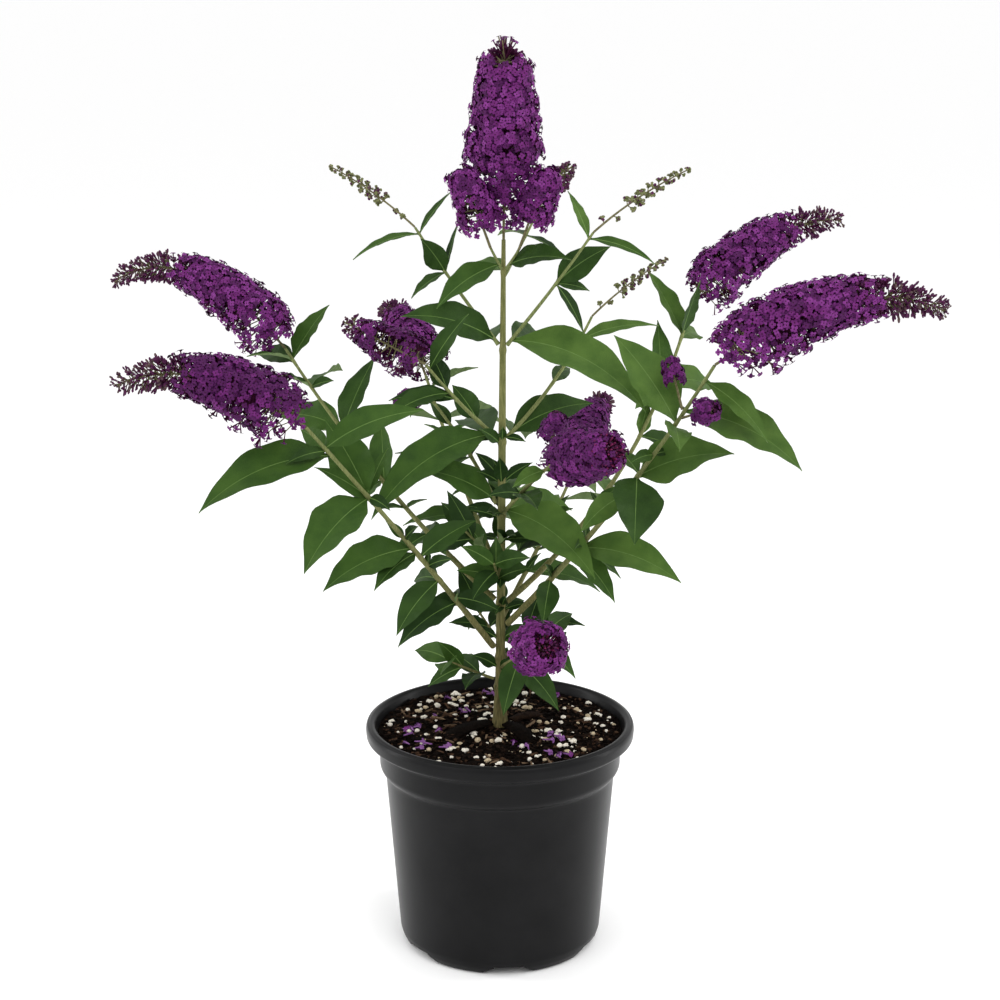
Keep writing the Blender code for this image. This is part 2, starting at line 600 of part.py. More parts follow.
def potting_mix(collection, surface):
    """Build the mix that fills the pot, clear of its wall and floor, with an uneven mounded top."""
    clear = WALL_THICKNESS + 2 * GAP
    rng = random.Random(11)
    made = bmesh.new()
    neck = BAND_RADIUS - clear
    shares = (0.16, 0.44, 0.74, 1.0)
    rings = []
    for share in shares:
        fall = ((share - shares[0]) / (1 - shares[0])) ** 1.3
        height = SOIL_CROWN_HEIGHT + (SOIL_EDGE_HEIGHT - SOIL_CROWN_HEIGHT) * fall
        waver = 0 if share in (shares[0], shares[-1]) else SOIL_UNEVENNESS
        rings.append([(SOIL_EDGE_RADIUS * share, height, waver)] * POT_STEPS)
    lower = (
        (neck, POT_HEIGHT - LIP_HEIGHT - 0.004),
        (neck, BAND_FOOT + 0.0012),
        (WALL_TOP_RADIUS - clear, WALL_TOP),
        (WALL_FOOT_RADIUS - 1.3 * clear - 0.0006, WALL_FOOT),
        (BASE_RADIUS - 0.0012, FLOOR_THICKNESS + 2 * GAP),
    )
    for radius, height in lower:
        rings.append([(radius, height, 0)] * POT_STEPS)
    rows = []
    for ring in rings:
        row = []
        for step, (radius, height, waver) in enumerate(ring):
            angle = step * math.tau / POT_STEPS
            row.append(made.verts.new((radius * math.cos(angle), radius * math.sin(angle),
                                       height + rng.uniform(-waver, waver))))
        rows.append(row)
    made.faces.new(rows[0])
    made.faces.new(list(reversed(rows[-1])))
    for upper, under in zip(rows, rows[1:]):
        for step in range(POT_STEPS):
            after = (step + 1) % POT_STEPS
            made.faces.new((upper[step], under[step], under[after], upper[after]))
    bmesh.ops.recalc_face_normals(made, faces=made.faces)
    mesh = bpy.data.meshes.new("potting_mix")
    made.to_mesh(mesh)
    mesh.materials.append(surface)
    collection.objects.link(bpy.data.objects.new("potting_mix", mesh))


def main_stem(collection, surface, taken):
    """Build the stem from its flared, flat-cut foot to the foot of the top panicle."""
    heights = [STEM_FOOT + along for along, radius in STEM_RADII]
    for node in STEM_NODE_HEIGHTS:
        heights.extend((node - 0.004, node, node + 0.004))
    heights.sort()
    radii = []
    for height in heights:
        swollen = STEM_NODE_SWELL if height in STEM_NODE_HEIGHTS else 1.0
        radii.append(stem_radius(height) * swollen)
    base = tube([stem_axis(height) for height in heights], radii, 2)
    for vert in base.verts:
        if vert.co.z < STEM_FOOT + 0.004:
            vert.co.z = STEM_FOOT
    _, taken["main_stem"] = fuse("main_stem", collection, surface, base, [])


def shoot_course(row):
    """Return the points along a shoot from the middle of the main stem."""
    return course(stem_axis(row["height"]), row["heading"], row["rise"], row["length"], row["bend"],
                  row["turn"], 24)


def shoot_part(points, row, first, last, resolution):
    """Return the stretch of a shoot between two shares of its length as a tapering tube."""
    count = max(3, round((last - first) * row["length"] / 0.022) + 1)
    shares = [first + (last - first) * index / (count - 1) for index in range(count)]
    radii = [row["root"] + (row["tip"] - row["root"]) * share for share in shares]
    return tube([place_on(points, share)[0] for share in shares], radii, resolution)


def first_share(row):
    """Return the share of a shoot's length at which it leaves the main stem's bark."""
    slope = math.cos(math.radians(row["rise"]))
    sink = row["root"] * math.sin(math.radians(row["rise"]))
    return (stem_radius(row["height"]) * STEM_NODE_SWELL + GAP + sink) / slope / row["length"]


def foot_beyond(points, onward):
    """Return where a stalk that leaves along this direction starts, just clear of a shoot's flat tip."""
    along = (points[-1] - points[-2]).normalized()
    return points[-1] + along * (GAP + PEDUNCLE_RADIUS * along.cross(onward).length)


def touches(piece, taken, own):
    """Tell whether a piece meets any solid that is already placed, apart from its own."""
    tree = BVHTree.FromBMesh(piece)
    return any(tree.overlap(other) for name, other in taken.items() if name not in own)


def build():
    """Build the plant and its pot."""
    clear_scene()
    collection = new_collection(COLLECTION_NAME)
    cutters = new_collection(CUTTER_COLLECTION_NAME)
    black = material("black plastic", (0.018, 0.019, 0.021), 0.42)
    earth = material("potting mix", (0.060, 0.038, 0.025), 0.95)
    bark = material("woody stem", (0.230, 0.200, 0.095), 0.75)
    green = material("leaves", (0.070, 0.160, 0.035), 0.55)
    purple = material("florets", (0.140, 0.020, 0.170), 0.65)
    budding = material("buds", (0.210, 0.190, 0.130), 0.75)
    taken = {}

    pot(collection, cutters, black)
    potting_mix(collection, earth)
    main_stem(collection, bark, taken)

    # The bare boughs and the woody line of every shoot are placed first, so that leaves keep clear.
    courses = {}
    shoot_bases = {}
    for name, row in SHOOTS.items():
        points = shoot_course(row)
        courses[name] = points
        start = first_share(row)
        if row["bare"]:
            bough = shoot_part(points, row, start, row["bare"], 1)
            seat_on_stem(bough, place_on(points, start)[0], place_on(points, start)[1], row["root"])
            _, taken[f"bough_{name}"] = fuse(f"bough_{name}", collection, bark, bough, [])
            start = row["bare"] + GAP / row["length"]
            shoot_bases[name] = shoot_part(points, row, start, 1.0, 0)
        else:
            base = shoot_part(points, row, start, 1.0, 0)
            seat_on_stem(base, place_on(points, start)[0], place_on(points, start)[1], row["root"])
            shoot_bases[name] = base
        taken[f"foliage_{name}"] = BVHTree.FromBMesh(shoot_bases[name])
    courses["stem"] = [stem_axis(STEM_FOOT + (STEM_TOP - STEM_FOOT) * index / 24) for index in range(25)]

    # Panicles in flower
    for index, (name, row) in enumerate(PANICLES.items()):
        shoot, heading, rise, length, bend, turn, radius, open_share, count, bare = row
        rng = random.Random(100 + index)
        foot = foot_beyond(courses[shoot], direction(heading, rise))
        points = course(foot, heading, rise, length, bend, turn, 16, PANICLE_HOOK)
        rings = max(7, round(length * (1 - bare) / BLOOM_RING_SPACING))
        sides = 10 if length > 0.15 else 8
        body = bloom(rng, points, bare, radius, open_share, rings, sides)
        pieces = cluster_tufts(rng, points, bare, radius, open_share, count)
        _, taken[name] = fuse(name, collection, purple, body, pieces)

    # Spikes in bud
    for name, (shoot, heading, rise, length, bend, radius) in BUD_SPIKES.items():
        foot = foot_beyond(courses[shoot], direction(heading, rise))
        stalk, pieces = bud_spike(course(foot, heading, rise, length, bend, 0, 6), radius)
        _, taken[name] = fuse(name, collection, budding, stalk, pieces)

    # Small side blooms on stalks of their own
    for index, (name, row) in enumerate(SIDE_BLOOMS.items()):
        shoot, place, heading, rise, stalk, bloom_length, radius = row
        rng = random.Random(200 + index)
        limb = SHOOTS[shoot]
        centre, along = place_on(courses[shoot], place)
        onward = direction(heading, rise)
        away = (onward - along * onward.dot(along)).normalized()
        limb_radius = limb["root"] + (limb["tip"] - limb["root"]) * place
        foot = centre + away * (limb_radius * 0.9 + GAP + PEDUNCLE_RADIUS * abs(onward.dot(along)))
        points = course(foot, heading, rise, stalk + bloom_length, 0, 0, 10)
        body = bloom(rng, points, stalk / (stalk + bloom_length), radius, 1.0, 5, 6)
        _, taken[name] = fuse(name, collection, purple, body, [])

    # Leaves, each fused to the shoot that carries it and left out where it would meet another piece
    for name, row in SHOOTS.items():
        own = f"foliage_{name}"
        pieces = []
        start = first_share(row)
        for place, heading, rise, length, width in row["leaves"]:
            share = max(place, start + 0.0035 / row["length"])
            piece = leaf(place_on(courses[name], share)[0], heading, rise, length, width)
            if touches(piece, taken, (own,)):
                continue
            pieces.append(piece)
        _, taken[own] = fuse(own, collection, green, shoot_bases[name], pieces)

    # Short leafy twigs low on the stem, with crossed pairs of leaves
    for index, (name, (height, heading, rise, length)) in enumerate(LOW_TWIGS.items()):
        rng = random.Random(300 + index)
        row = dict(height=height, heading=heading, rise=rise, length=length, bend=8, turn=0,
                   root=LOW_TWIG_RADII[0], tip=LOW_TWIG_RADII[1])
        points = shoot_course(row)
        start = first_share(row)
        base = shoot_part(points, row, start, 1.0, 0)
        seat_on_stem(base, place_on(points, start)[0], place_on(points, start)[1], row["root"])
        own = f"foliage_{name}"
        pieces = []
        for order, place in enumerate(LOW_TWIG_PLACES):
            for side in (-1, 1):
                upright = order % 2
                leaf_heading = heading + side * (LOW_LEAF_SPREAD if not upright else 14)
                leaf_rise = rise + (0 if not upright else side * 38) + rng.uniform(-10, 6)
                leaf_length = rng.uniform(*LOW_LEAF_LENGTH)
                piece = leaf(place_on(points, place)[0], leaf_heading + rng.uniform(-10, 10), leaf_rise,
                             leaf_length, LOW_LEAF_WIDTH)
                if touches(piece, taken, (own,)):
                    continue
                pieces.append(piece)
        _, taken[own] = fuse(own, collection, green, base, pieces)


build()
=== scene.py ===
"""Looks of a butterfly bush in flower in a round black nursery pot.

The shoots, leaves and blooms grow by the same rows and rules as the solids, carried finer. Lengths are
in metres, angles in degrees, +Z is up and -Y is the front.
"""

import math
import random

import bmesh
import bpy
import numpy as np
from mathutils import Matrix, Vector, noise


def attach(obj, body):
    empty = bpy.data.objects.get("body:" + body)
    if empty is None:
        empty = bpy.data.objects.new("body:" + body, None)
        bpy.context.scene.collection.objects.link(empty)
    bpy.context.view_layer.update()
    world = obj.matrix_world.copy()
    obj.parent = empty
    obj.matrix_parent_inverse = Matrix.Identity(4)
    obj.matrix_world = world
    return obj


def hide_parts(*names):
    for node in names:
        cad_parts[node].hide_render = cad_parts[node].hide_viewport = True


GAP = 0.0003
SHARP_EDGE = math.radians(60)

# Pot and potting mix
POT_STEPS = 144
POT_HEIGHT = 0.2065
LIP_RADIUS = 0.120
LIP_HEIGHT = 0.0145
LIP_INNER_RADIUS = 0.1125
BAND_RADIUS = 0.108
BAND_FOOT = 0.168
WALL_TOP_RADIUS = 0.1024
WALL_TOP = 0.157
WALL_FOOT_RADIUS = 0.0908
WALL_FOOT = 0.012
BASE_RADIUS = 0.0835
WALL_THICKNESS = 0.0020
FLOOR_THICKNESS = 0.0022
DRAIN_COUNT = 6
DRAIN_HEADING = -85
DRAIN_WIDTH = 0.046
DRAIN_TOP_WIDTH = 0.026
DRAIN_HEIGHT = 0.008
DRAIN_REACH = (0.073, 0.100)
SOIL_EDGE_HEIGHT = 0.1985
SOIL_EDGE_RADIUS = 0.1083
SOIL_CROWN_HEIGHT = 0.2002

# Main stem. The radii are at heights above its foot
STEM_FOOT = SOIL_CROWN_HEIGHT + GAP
STEM_TOP = 0.636
STEM_LEAN = 0.4
STEM_RADII = ((0.000, 0.0074), (0.010, 0.0065), (0.026, 0.0058), (0.060, 0.0046), (0.120, 0.0041),
              (0.200, 0.0038), (0.262, 0.0036), (0.345, 0.0029), (0.412, 0.0022), (0.4355, 0.0019))
STEM_NODE_HEIGHTS = (0.3955, 0.4608, 0.5415, 0.6086)
STEM_NODE_SWELL = 1.25
STEM_SCAR_HEIGHTS = (0.3155, 0.2650, 0.2380)
STEM_SIDES = 24
STEM_STEP = 0.0016

# Leaf form, as in the solids, with a finer outline
LEAF_OUTLINE = ((0.0, 0.02), (0.05, 0.11), (0.12, 0.42), (0.19, 0.72), (0.28, 0.93), (0.37, 1.0),
                (0.48, 0.98), (0.60, 0.84), (0.70, 0.66), (0.80, 0.44), (0.90, 0.20), (0.96, 0.07),
                (1.0, 0.0))
PETIOLE_HALF_WIDTH = 0.0010
LEAF_FOLD = 0.16
DROOP_AT_REST = 20
DROOP_PER_METRE = 250
FACE_UP = 0.8
FACE_OUT = 0.6
FACE_FRONT = 0.7
FACE_FRONT_LIMIT = 0.14
# Short leaves nearer the stem's axis than this get darker greens, as painted shade of the inner crown
INNER_REACH = 0.07
INNER_LENGTH = 0.07

# A leaf is given by its place along the shoot, heading, rise, length and breadth as a share of the length
SHOOTS = {
    "left_front": dict(
        height=0.267, heading=-146, rise=52, length=0.303, bend=-4, turn=4,
        root=0.0030, tip=0.0015, bare=0.20,
        leaves=((0.24, -150, -10, 0.068, 0.40), (0.26, 10, -5, 0.045, 0.42), (0.34, -140, -25, 0.063, 0.42),
                (0.34, 120, 0, 0.050, 0.42), (0.44, 25, 40, 0.060, 0.42), (0.46, -130, -5, 0.058, 0.40),
                (0.48, -160, 0, 0.087, 0.42), (0.70, -135, -15, 0.090, 0.50), (0.70, 140, 60, 0.078, 0.48),
                (0.69, -170, 45, 0.056, 0.26), (0.71, 60, 55, 0.048, 0.26), (0.88, -160, 6, 0.122, 0.32),
                (0.91, -15, 40, 0.094, 0.30), (0.90, -150, 5, 0.038, 0.34), (0.90, 130, 30, 0.040, 0.42))),
    "left_back": dict(
        height=0.313, heading=158, rise=38, length=0.303, bend=14, turn=-6,
        root=0.0028, tip=0.0014, bare=0.20,
        leaves=((0.26, 110, 5, 0.075, 0.40), (0.30, -160, -20, 0.050, 0.42), (0.50, 100, 75, 0.059, 0.50),
                (0.50, 35, 40, 0.040, 0.34), (0.51, -130, -15, 0.046, 0.50), (0.51, 120, 10, 0.080, 0.40),
                (0.70, 45, 65, 0.074, 0.42), (0.70, 140, 20, 0.085, 0.38), (0.86, -145, 35, 0.039, 0.46),
                (0.86, -30, 30, 0.026, 0.50), (0.86, 70, 20, 0.070, 0.36), (0.96, 30, 60, 0.060, 0.46),
                (0.96, -140, 25, 0.050, 0.34), (0.95, 130, 15, 0.060, 0.36))),
    "right_front": dict(
        height=0.290, heading=-28, rise=46.4, length=0.333, bend=10, turn=-13,
        root=0.0030, tip=0.0015, bare=0.18,
        leaves=((0.22, -100, -20, 0.050, 0.42), (0.33, -30, -30, 0.056, 0.38), (0.35, -25, 10, 0.098, 0.36),
                (0.36, 170, 20, 0.050, 0.42), (0.55, -140, -10, 0.053, 0.40), (0.62, -95, -25, 0.068, 0.66),
                (0.62, -20, 35, 0.088, 0.46), (0.63, 120, 35, 0.040, 0.36), (0.85, -17, 0, 0.110, 0.37),
                (0.81, 150, 60, 0.090, 0.46), (0.80, -90, 10, 0.060, 0.40), (0.95, -30, -20, 0.073, 0.30))),
    "right_back": dict(
        height=0.312, heading=24, rise=33, length=0.335, bend=35, turn=22, root=0.0028, tip=0.0014, bare=0.18,
        leaves=((0.24, 0, -15, 0.060, 0.42), (0.26, 80, 5, 0.070, 0.40), (0.42, 100, 20, 0.075, 0.40),
                (0.44, -30, -10, 0.045, 0.42), (0.60, 60, 65, 0.034, 0.44), (0.60, 20, -10, 0.060, 0.40),
                (0.74, -130, 0, 0.042, 0.50), (0.74, 95, 70, 0.066, 0.44), (0.75, 50, 10, 0.090, 0.38),
                (0.90, 150, 65, 0.068, 0.46), (0.90, -35, 75, 0.054, 0.34), (0.89, 70, 10, 0.070, 0.36))),
    "back_left": dict(
        height=0.336, heading=113, rise=36, length=0.238, bend=6, turn=-1, root=0.0026, tip=0.0014, bare=0.24,
        leaves=((0.30, 170, 10, 0.070, 0.40), (0.30, 50, 0, 0.085, 0.40), (0.55, 100, 5, 0.100, 0.38),
                (0.55, -170, 30, 0.060, 0.40), (0.78, 170, 15, 0.085, 0.38), (0.78, 50, 10, 0.090, 0.38),
                (0.93, 112, -15, 0.070, 0.34), (0.94, 10, 35, 0.050, 0.36))),
    "back_right": dict(
        height=0.300, heading=70, rise=20, length=0.222, bend=8, turn=-1, root=0.0026, tip=0.0014, bare=0.26,
        leaves=((0.32, 20, 0, 0.080, 0.40), (0.32, 140, 0, 0.075, 0.40), (0.58, 70, -10, 0.095, 0.38),
                (0.58, 155, -15, 0.055, 0.40), (0.80, 15, 5, 0.085, 0.38), (0.80, 125, 5, 0.090, 0.38),
                (0.95, 60, -10, 0.060, 0.34))),
    "fourth_left": dict(
        height=0.3955, heading=138, rise=57, length=0.130, bend=-14, turn=12, root=0.0021, tip=0.0012, bare=0,
        leaves=((0.00, -155, 40, 0.084, 0.36), (0.04, 70, 20, 0.085, 0.38), (0.45, 90, 30, 0.050, 0.40),
                (0.45, -130, 0, 0.034, 0.42), (0.70, 130, 40, 0.036, 0.36))),
    "fourth_right": dict(
        height=0.3955, heading=-67, rise=36, length=0.126, bend=-5, turn=1, root=0.0021, tip=0.0013, bare=0,
        leaves=((0.00, -40, 0, 0.111, 0.40), (0.05, 40, 10, 0.080, 0.38), (0.40, -140, 20, 0.036, 0.42),
                (0.40, -75, 15, 0.053, 0.46), (0.85, 10, 10, 0.045, 0.40), (0.85, -140, 0, 0.036, 0.40))),
    "third_left": dict(
        height=0.4608, heading=-158, rise=41, length=0.102, bend=10, turn=6, root=0.0021, tip=0.0012, bare=0,
        leaves=((0.00, -150, 0, 0.138, 0.29), (0.05, 110, 15, 0.095, 0.38), (0.30, 135, 50, 0.042, 0.50),
                (0.70, 125, 55, 0.038, 0.50), (0.66, -138, 8, 0.080, 0.26), (0.58, -150, 22, 0.066, 0.26),
                (0.95, -25, 62, 0.062, 0.30))),
    "third_right": dict(
        height=0.4608, heading=32, rise=36, length=0.142, bend=17, turn=13, root=0.0021, tip=0.0012, bare=0,
        leaves=((0.00, 30, 30, 0.088, 0.38), (0.05, 80, 5, 0.085, 0.38), (0.83, 15, 25, 0.075, 0.20),
                (0.83, 150, 20, 0.045, 0.24), (0.50, 70, 20, 0.050, 0.30))),
    "second_left": dict(
        height=0.5415, heading=152, rise=47, length=0.132, bend=4, turn=-2, root=0.0019, tip=0.0011, bare=0,
        leaves=((0.00, -150, 35, 0.096, 0.34), (0.05, 100, 10, 0.085, 0.36), (0.64, -155, 60, 0.038, 0.56),
                (0.64, -160, -20, 0.038, 0.40), (0.64, 40, 75, 0.046, 0.20), (0.95, -160, 0, 0.064, 0.20),
                (0.95, 35, 55, 0.048, 0.20))),
    "second_right": dict(
        height=0.5415, heading=-27, rise=49, length=0.136, bend=4, turn=-5, root=0.0019, tip=0.0011, bare=0,
        leaves=((0.00, -25, 5, 0.140, 0.31), (0.05, 62, 5, 0.095, 0.36), (0.58, 20, 0, 0.032, 0.36),
                (0.58, -40, -40, 0.050, 0.22), (0.58, 10, 45, 0.056, 0.44), (0.95, 118, 55, 0.051, 0.22),
                (0.95, -20, 0, 0.061, 0.18))),
    "first_left": dict(
        height=0.6086, heading=-124, rise=48, length=0.030, bend=1, turn=3, root=0.0014, tip=0.0011, bare=0,
        leaves=((0.00, -150, -10, 0.070, 0.36),)),
    "first_right": dict(
        height=0.6086, heading=-42, rise=46, length=0.026, bend=9, turn=6, root=0.0014, tip=0.0011, bare=0,
        leaves=((0.00, -38, 25, 0.066, 0.38),)),
    "first_back": dict(
        height=0.6030, heading=62, rise=36, length=0.088, bend=5, turn=0, root=0.0014, tip=0.0010, bare=0,
        leaves=((0.10, 130, 10, 0.070, 0.34), (0.60, -30, -10, 0.043, 0.28), (0.60, 120, 10, 0.050, 0.28))),
    "low_front": dict(
        height=0.255, heading=-73, rise=28, length=0.098, bend=-3, turn=-1, root=0.0022, tip=0.0013, bare=0,
        leaves=((0.45, -20, -30, 0.060, 0.38), (0.70, -125, -50, 0.054, 0.42), (0.80, -10, 0, 0.040, 0.30))),
}

# Height on the stem, heading, rise and length
LOW_TWIGS = {
    "low_left": (0.243, -165, 22, 0.052),
    "low_right": (0.262, -15, 30, 0.050),
    "low_back_left": (0.278, 118, 20, 0.058),
    "low_back_right": (0.262, 52, 18, 0.056),
    "middle_front": (0.330, -100, 38, 0.046),
    "middle_right": (0.348, 8, 40, 0.050),
    "middle_left": (0.352, -170, 40, 0.047),
}
LOW_TWIG_RADII = (0.0015, 0.0010)
LOW_TWIG_PLACES = (0.40, 0.72, 0.97)
LOW_LEAF_LENGTH = (0.034, 0.052)
LOW_LEAF_WIDTH = 0.42
LOW_LEAF_SPREAD = 62
LOW_LEAVES_LEFT_OUT = {("middle_right", 0.72, 1), ("middle_left", 0.97, 1)}

PEDUNCLE_RADIUS = 0.0012
PANICLE_HOOK = 2
# Shoot, heading, rise, length, bend, turn, radius, share in flower and bare share of the stalk
PANICLES = {
    "panicle_top": ("stem", 0, 89.6, 0.166, 0, 0, 0.0370, 1.00, 0.34),
    "panicle_top_left": ("first_left", -130, 62, 0.081, -12, 0, 0.0225, 1.00, 0.20),
    "panicle_top_right": ("first_right", -46, 64, 0.081, -12, 0, 0.0225, 1.00, 0.26),
    "panicle_left_front": ("left_front", -166, 35, 0.162, -60, -2, 0.0330, 0.66, 0.03),
    "panicle_left_back": ("left_back", 168, 47, 0.184, -84, 5, 0.0310, 0.64, 0.03),
    "panicle_right_front": ("right_front", -7, 35, 0.195, -62, 0, 0.0340, 0.70, 0.03),
    "panicle_right_back": ("right_back", 13, 42, 0.158, -47, -4, 0.0310, 0.70, 0.03),
    "panicle_back_left": ("back_left", 110, 34, 0.140, -50, 0, 0.0300, 0.66, 0.03),
    "panicle_back_right": ("back_right", 74, 34, 0.140, -50, 0, 0.0300, 0.66, 0.03),
    "panicle_middle_left": ("third_left", 160, 23, 0.080, 0, 0, 0.0250, 0.95, 0.04),
    "panicle_middle_left_side": ("fourth_left", -150, -20, 0.034, -20, 0, 0.0130, 1.00, 0.20),
    "panicle_middle_right": ("fourth_right", -58, 19, 0.096, -9, -1, 0.0305, 1.00, 0.10),
    "panicle_low_front": ("low_front", -75, 22, 0.058, -1, -1, 0.0290, 1.00, 0.10),
}
# Shoot, heading, rise, length, bend and radius
BUD_SPIKES = {
    "bud_spike_left": ("second_left", 160, 40, 0.094, -16, 0.0075),
    "bud_spike_right": ("second_right", -20, 42, 0.098, -16, 0.0075),
    "bud_spike_middle_right": ("third_right", 24, 40, 0.088, -16, 0.0070),
    "bud_spike_back": ("first_back", 50, 45, 0.052, -20, 0.0095),
}
BUD_SPIKE_FOOT = 0.36
BUD_SIDE_CLUSTERS = ((0.12, 60), (0.22, 250))
# Shoot, place along it, heading, rise, stalk, length of the blossom and radius
SIDE_BLOOMS = {
    "side_bloom_right": ("right_front", 0.835, -60, 20, 0.022, 0.026, 0.0150),
    "side_bloom_right_upper": ("right_front", 0.850, 170, 75, 0.020, 0.026, 0.0120),
    "side_bloom_middle_right": ("fourth_right", 0.900, 60, 70, 0.018, 0.030, 0.0140),
}

PLAIN_FULLNESS = 0.98
BLOOM_FULLNESS = {"panicle_middle_left": 0.88, "panicle_low_front": 1.08}
OPEN_SHARES = {"panicle_middle_left": 0.80}
# Shares of a blossom between which its front is left open, and how squarely a spoke must face the front
OPEN_FRONTS = {
    "panicle_top": (0.80, 1.0, 0.80),
    "panicle_middle_left": (0.12, 0.62, 0.62),
    "panicle_top_left": (0.20, 0.55, 0.78),
}
# Climb on the dome over a panicle's tip past which its florets are still in bud
HEART_CLIMB = 0.42
HEART_CLIMBS = {
    "panicle_low_front": 0.20,
    "panicle_middle_right": HEART_CLIMB,
    "panicle_top": HEART_CLIMB,
    "panicle_middle_left_side": HEART_CLIMB,
}
# Height on the stem, heading, rise and reach of the cymes and buds under the top panicle
SKIRT_CYMES = (
    (0.667, -98, -20, 0.027), (0.661, -70, -30, 0.025), (0.664, -124, -24, 0.028), (0.674, -84, -5, 0.029),
    (0.680, -104, 0, 0.028), (0.684, -72, 8, 0.028), (0.690, -92, 10, 0.030), (0.694, -118, 15, 0.028),
    (0.657, -150, -35, 0.022), (0.676, 175, -5, 0.024), (0.676, 15, -5, 0.024), (0.684, 95, 0, 0.024),
    (0.672, 60, -15, 0.020), (0.672, 130, -15, 0.020), (0.700, -80, -8, 0.035), (0.701, -104, -6, 0.036),
    (0.700, -56, -8, 0.035), (0.701, -128, -8, 0.035), (0.699, -30, -10, 0.034), (0.699, -152, -10, 0.034),
    (0.700, 0, -12, 0.032), (0.700, 180, -12, 0.032), (0.698, 32, -14, 0.032), (0.698, 62, -12, 0.032),
    (0.698, 92, -14, 0.032), (0.698, 122, -12, 0.032), (0.698, 152, -14, 0.032), (0.693, -66, -16, 0.033),
    (0.693, -90, -20, 0.034), (0.694, -112, -14, 0.034), (0.690, -40, -18, 0.032), (0.690, -140, -18, 0.032),
    (0.668, -62, -8, 0.022), (0.669, -118, -5, 0.022),
    (0.676, -76, 0, 0.026), (0.676, -104, 0, 0.026), (0.664, -38, -15, 0.027), (0.668, -140, -12, 0.027),
    (0.662, 20, -12, 0.024), (0.664, 160, -12, 0.024), (0.668, 80, -8, 0.020), (0.682, -60, 0, 0.030),
    (0.682, -120, 0, 0.030), (0.684, -90, 0, 0.031), (0.684, 0, 0, 0.030), (0.684, 180, 0, 0.030),
)
# The same without the rise
SKIRT_BUDS = (
    (0.690, -104, 0.030), (0.686, -90, 0.031), (0.690, -78, 0.031), (0.686, -64, 0.030), (0.691, -118, 0.030),
    (0.684, -110, 0.028), (0.683, -76, 0.028), (0.690, -50, 0.031), (0.688, 90, 0.028), (0.688, 70, 0.028),
    (0.688, 110, 0.028),
)


# Geometry helpers
UP = Vector((0, 0, 1))


def direction(heading, rise):
    flat = math.cos(math.radians(rise))
    return Vector((flat * math.cos(math.radians(heading)), flat * math.sin(math.radians(heading)),
                   math.sin(math.radians(rise))))


def course(start, heading, rise, length, bend, turn, steps, hook=1):
    points = [Vector(start)]
    for step in range(steps):
        share = (step + 0.5) / steps
        onward = direction(heading + turn * share, rise + bend * share ** hook)
        points.append(points[-1] + onward * (length / steps))
    return points


def place_on(points, share):
    """Place and direction at a share of a course."""
    reach = min(max(share, 0.0), 1.0) * (len(points) - 1)
    index = min(int(reach), len(points) - 2)
    span = points[index + 1] - points[index]
    before = points[max(index - 1, 0)]
    after = points[min(index + 2, len(points) - 1)]
    blend = reach - index
    chord = (points[index + 1] - before) * (1 - blend) + (after - points[index]) * blend
    along = (span.normalized() + chord * 0.5 / max(span.length, 1e-9)).normalized()
    return points[index] + span * blend, along


def places_on(points, shares):
    return [place_on(points, share)[0] for share in shares]


def even_shares(count, start, end):
    return [start + (end - start) * index / count for index in range(count + 1)]


def around(across, other, angle):
    return across * math.cos(angle) + other * math.sin(angle)


def squared(across, along):
    """Turn a cross direction until it is square to the way along."""
    return (across - along * across.dot(along)).normalized()


def random_vector(rng, low, high):
    return Vector([rng.uniform(low, high) for axis in range(3)])


def stem_radius(height):
    along = height - STEM_FOOT
    for (low, low_radius), (high, high_radius) in zip(STEM_RADII, STEM_RADII[1:]):
        if along <= high:
            return low_radius + (high_radius - low_radius) * (along - low) / (high - low)
    return STEM_RADII[-1][1]


def stem_axis(height):
    return Vector((math.tan(math.radians(STEM_LEAN)) * (height - STEM_FOOT), 0, height))


def shoot_course(row):
    return course(stem_axis(row["height"]), row["heading"], row["rise"], row["length"], row["bend"],
                  row["turn"], 24)


def first_share(row):
    """The share of a shoot at which it clears the stem's node."""
    slope = math.cos(math.radians(row["rise"]))
    sink = row["root"] * math.sin(math.radians(row["rise"]))
    return (stem_radius(row["height"]) * STEM_NODE_SWELL + GAP + sink) / slope / row["length"]


def foot_beyond(points, onward):
    """Where a stalk starts just past the end of a course."""
    along = (points[-1] - points[-2]).normalized()
    return points[-1] + along * (GAP + PEDUNCLE_RADIUS * along.cross(onward).length)


class Batch:
    """Faces of one kind, gathered into one mesh."""

    def __init__(self):
        self.verts = []
        self.faces = []
        self.slots = []

    def add(self, verts, faces, slots):
        base = len(self.verts)
        self.verts.extend(verts)
        self.faces.extend([tuple(index + base for index in face) for face in faces])
        if isinstance(slots, int):
            self.slots.extend([slots] * len(faces))
        else:
            self.slots.extend(slots)

    def build(self, name, materials, slot, smooth=True, nodes=()):
        mesh = bpy.data.meshes.new(name)
        mesh.from_pydata([tuple(vert) for vert in self.verts], [], self.faces)
        for item in materials:
            mesh.materials.append(item)
        mesh.polygons.foreach_set("material_index", np.array(self.slots, np.int32))
        mesh.polygons.foreach_set("use_smooth", np.full(len(self.faces), smooth))
        mesh.update()
        if smooth:
            mesh.set_sharp_from_angle(angle=SHARP_EDGE)
        made = bpy.data.objects.new(name, mesh)
        bpy.context.scene.collection.objects.link(made)
        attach(made, "root")
        if nodes:
            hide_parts(*nodes)


def band(near, far, sides):
    """Quads between two rings of points, given by the first index of each."""
    return [(near + side, near + (side + 1) % sides, far + (side + 1) % sides, far + side)
            for side in range(sides)]


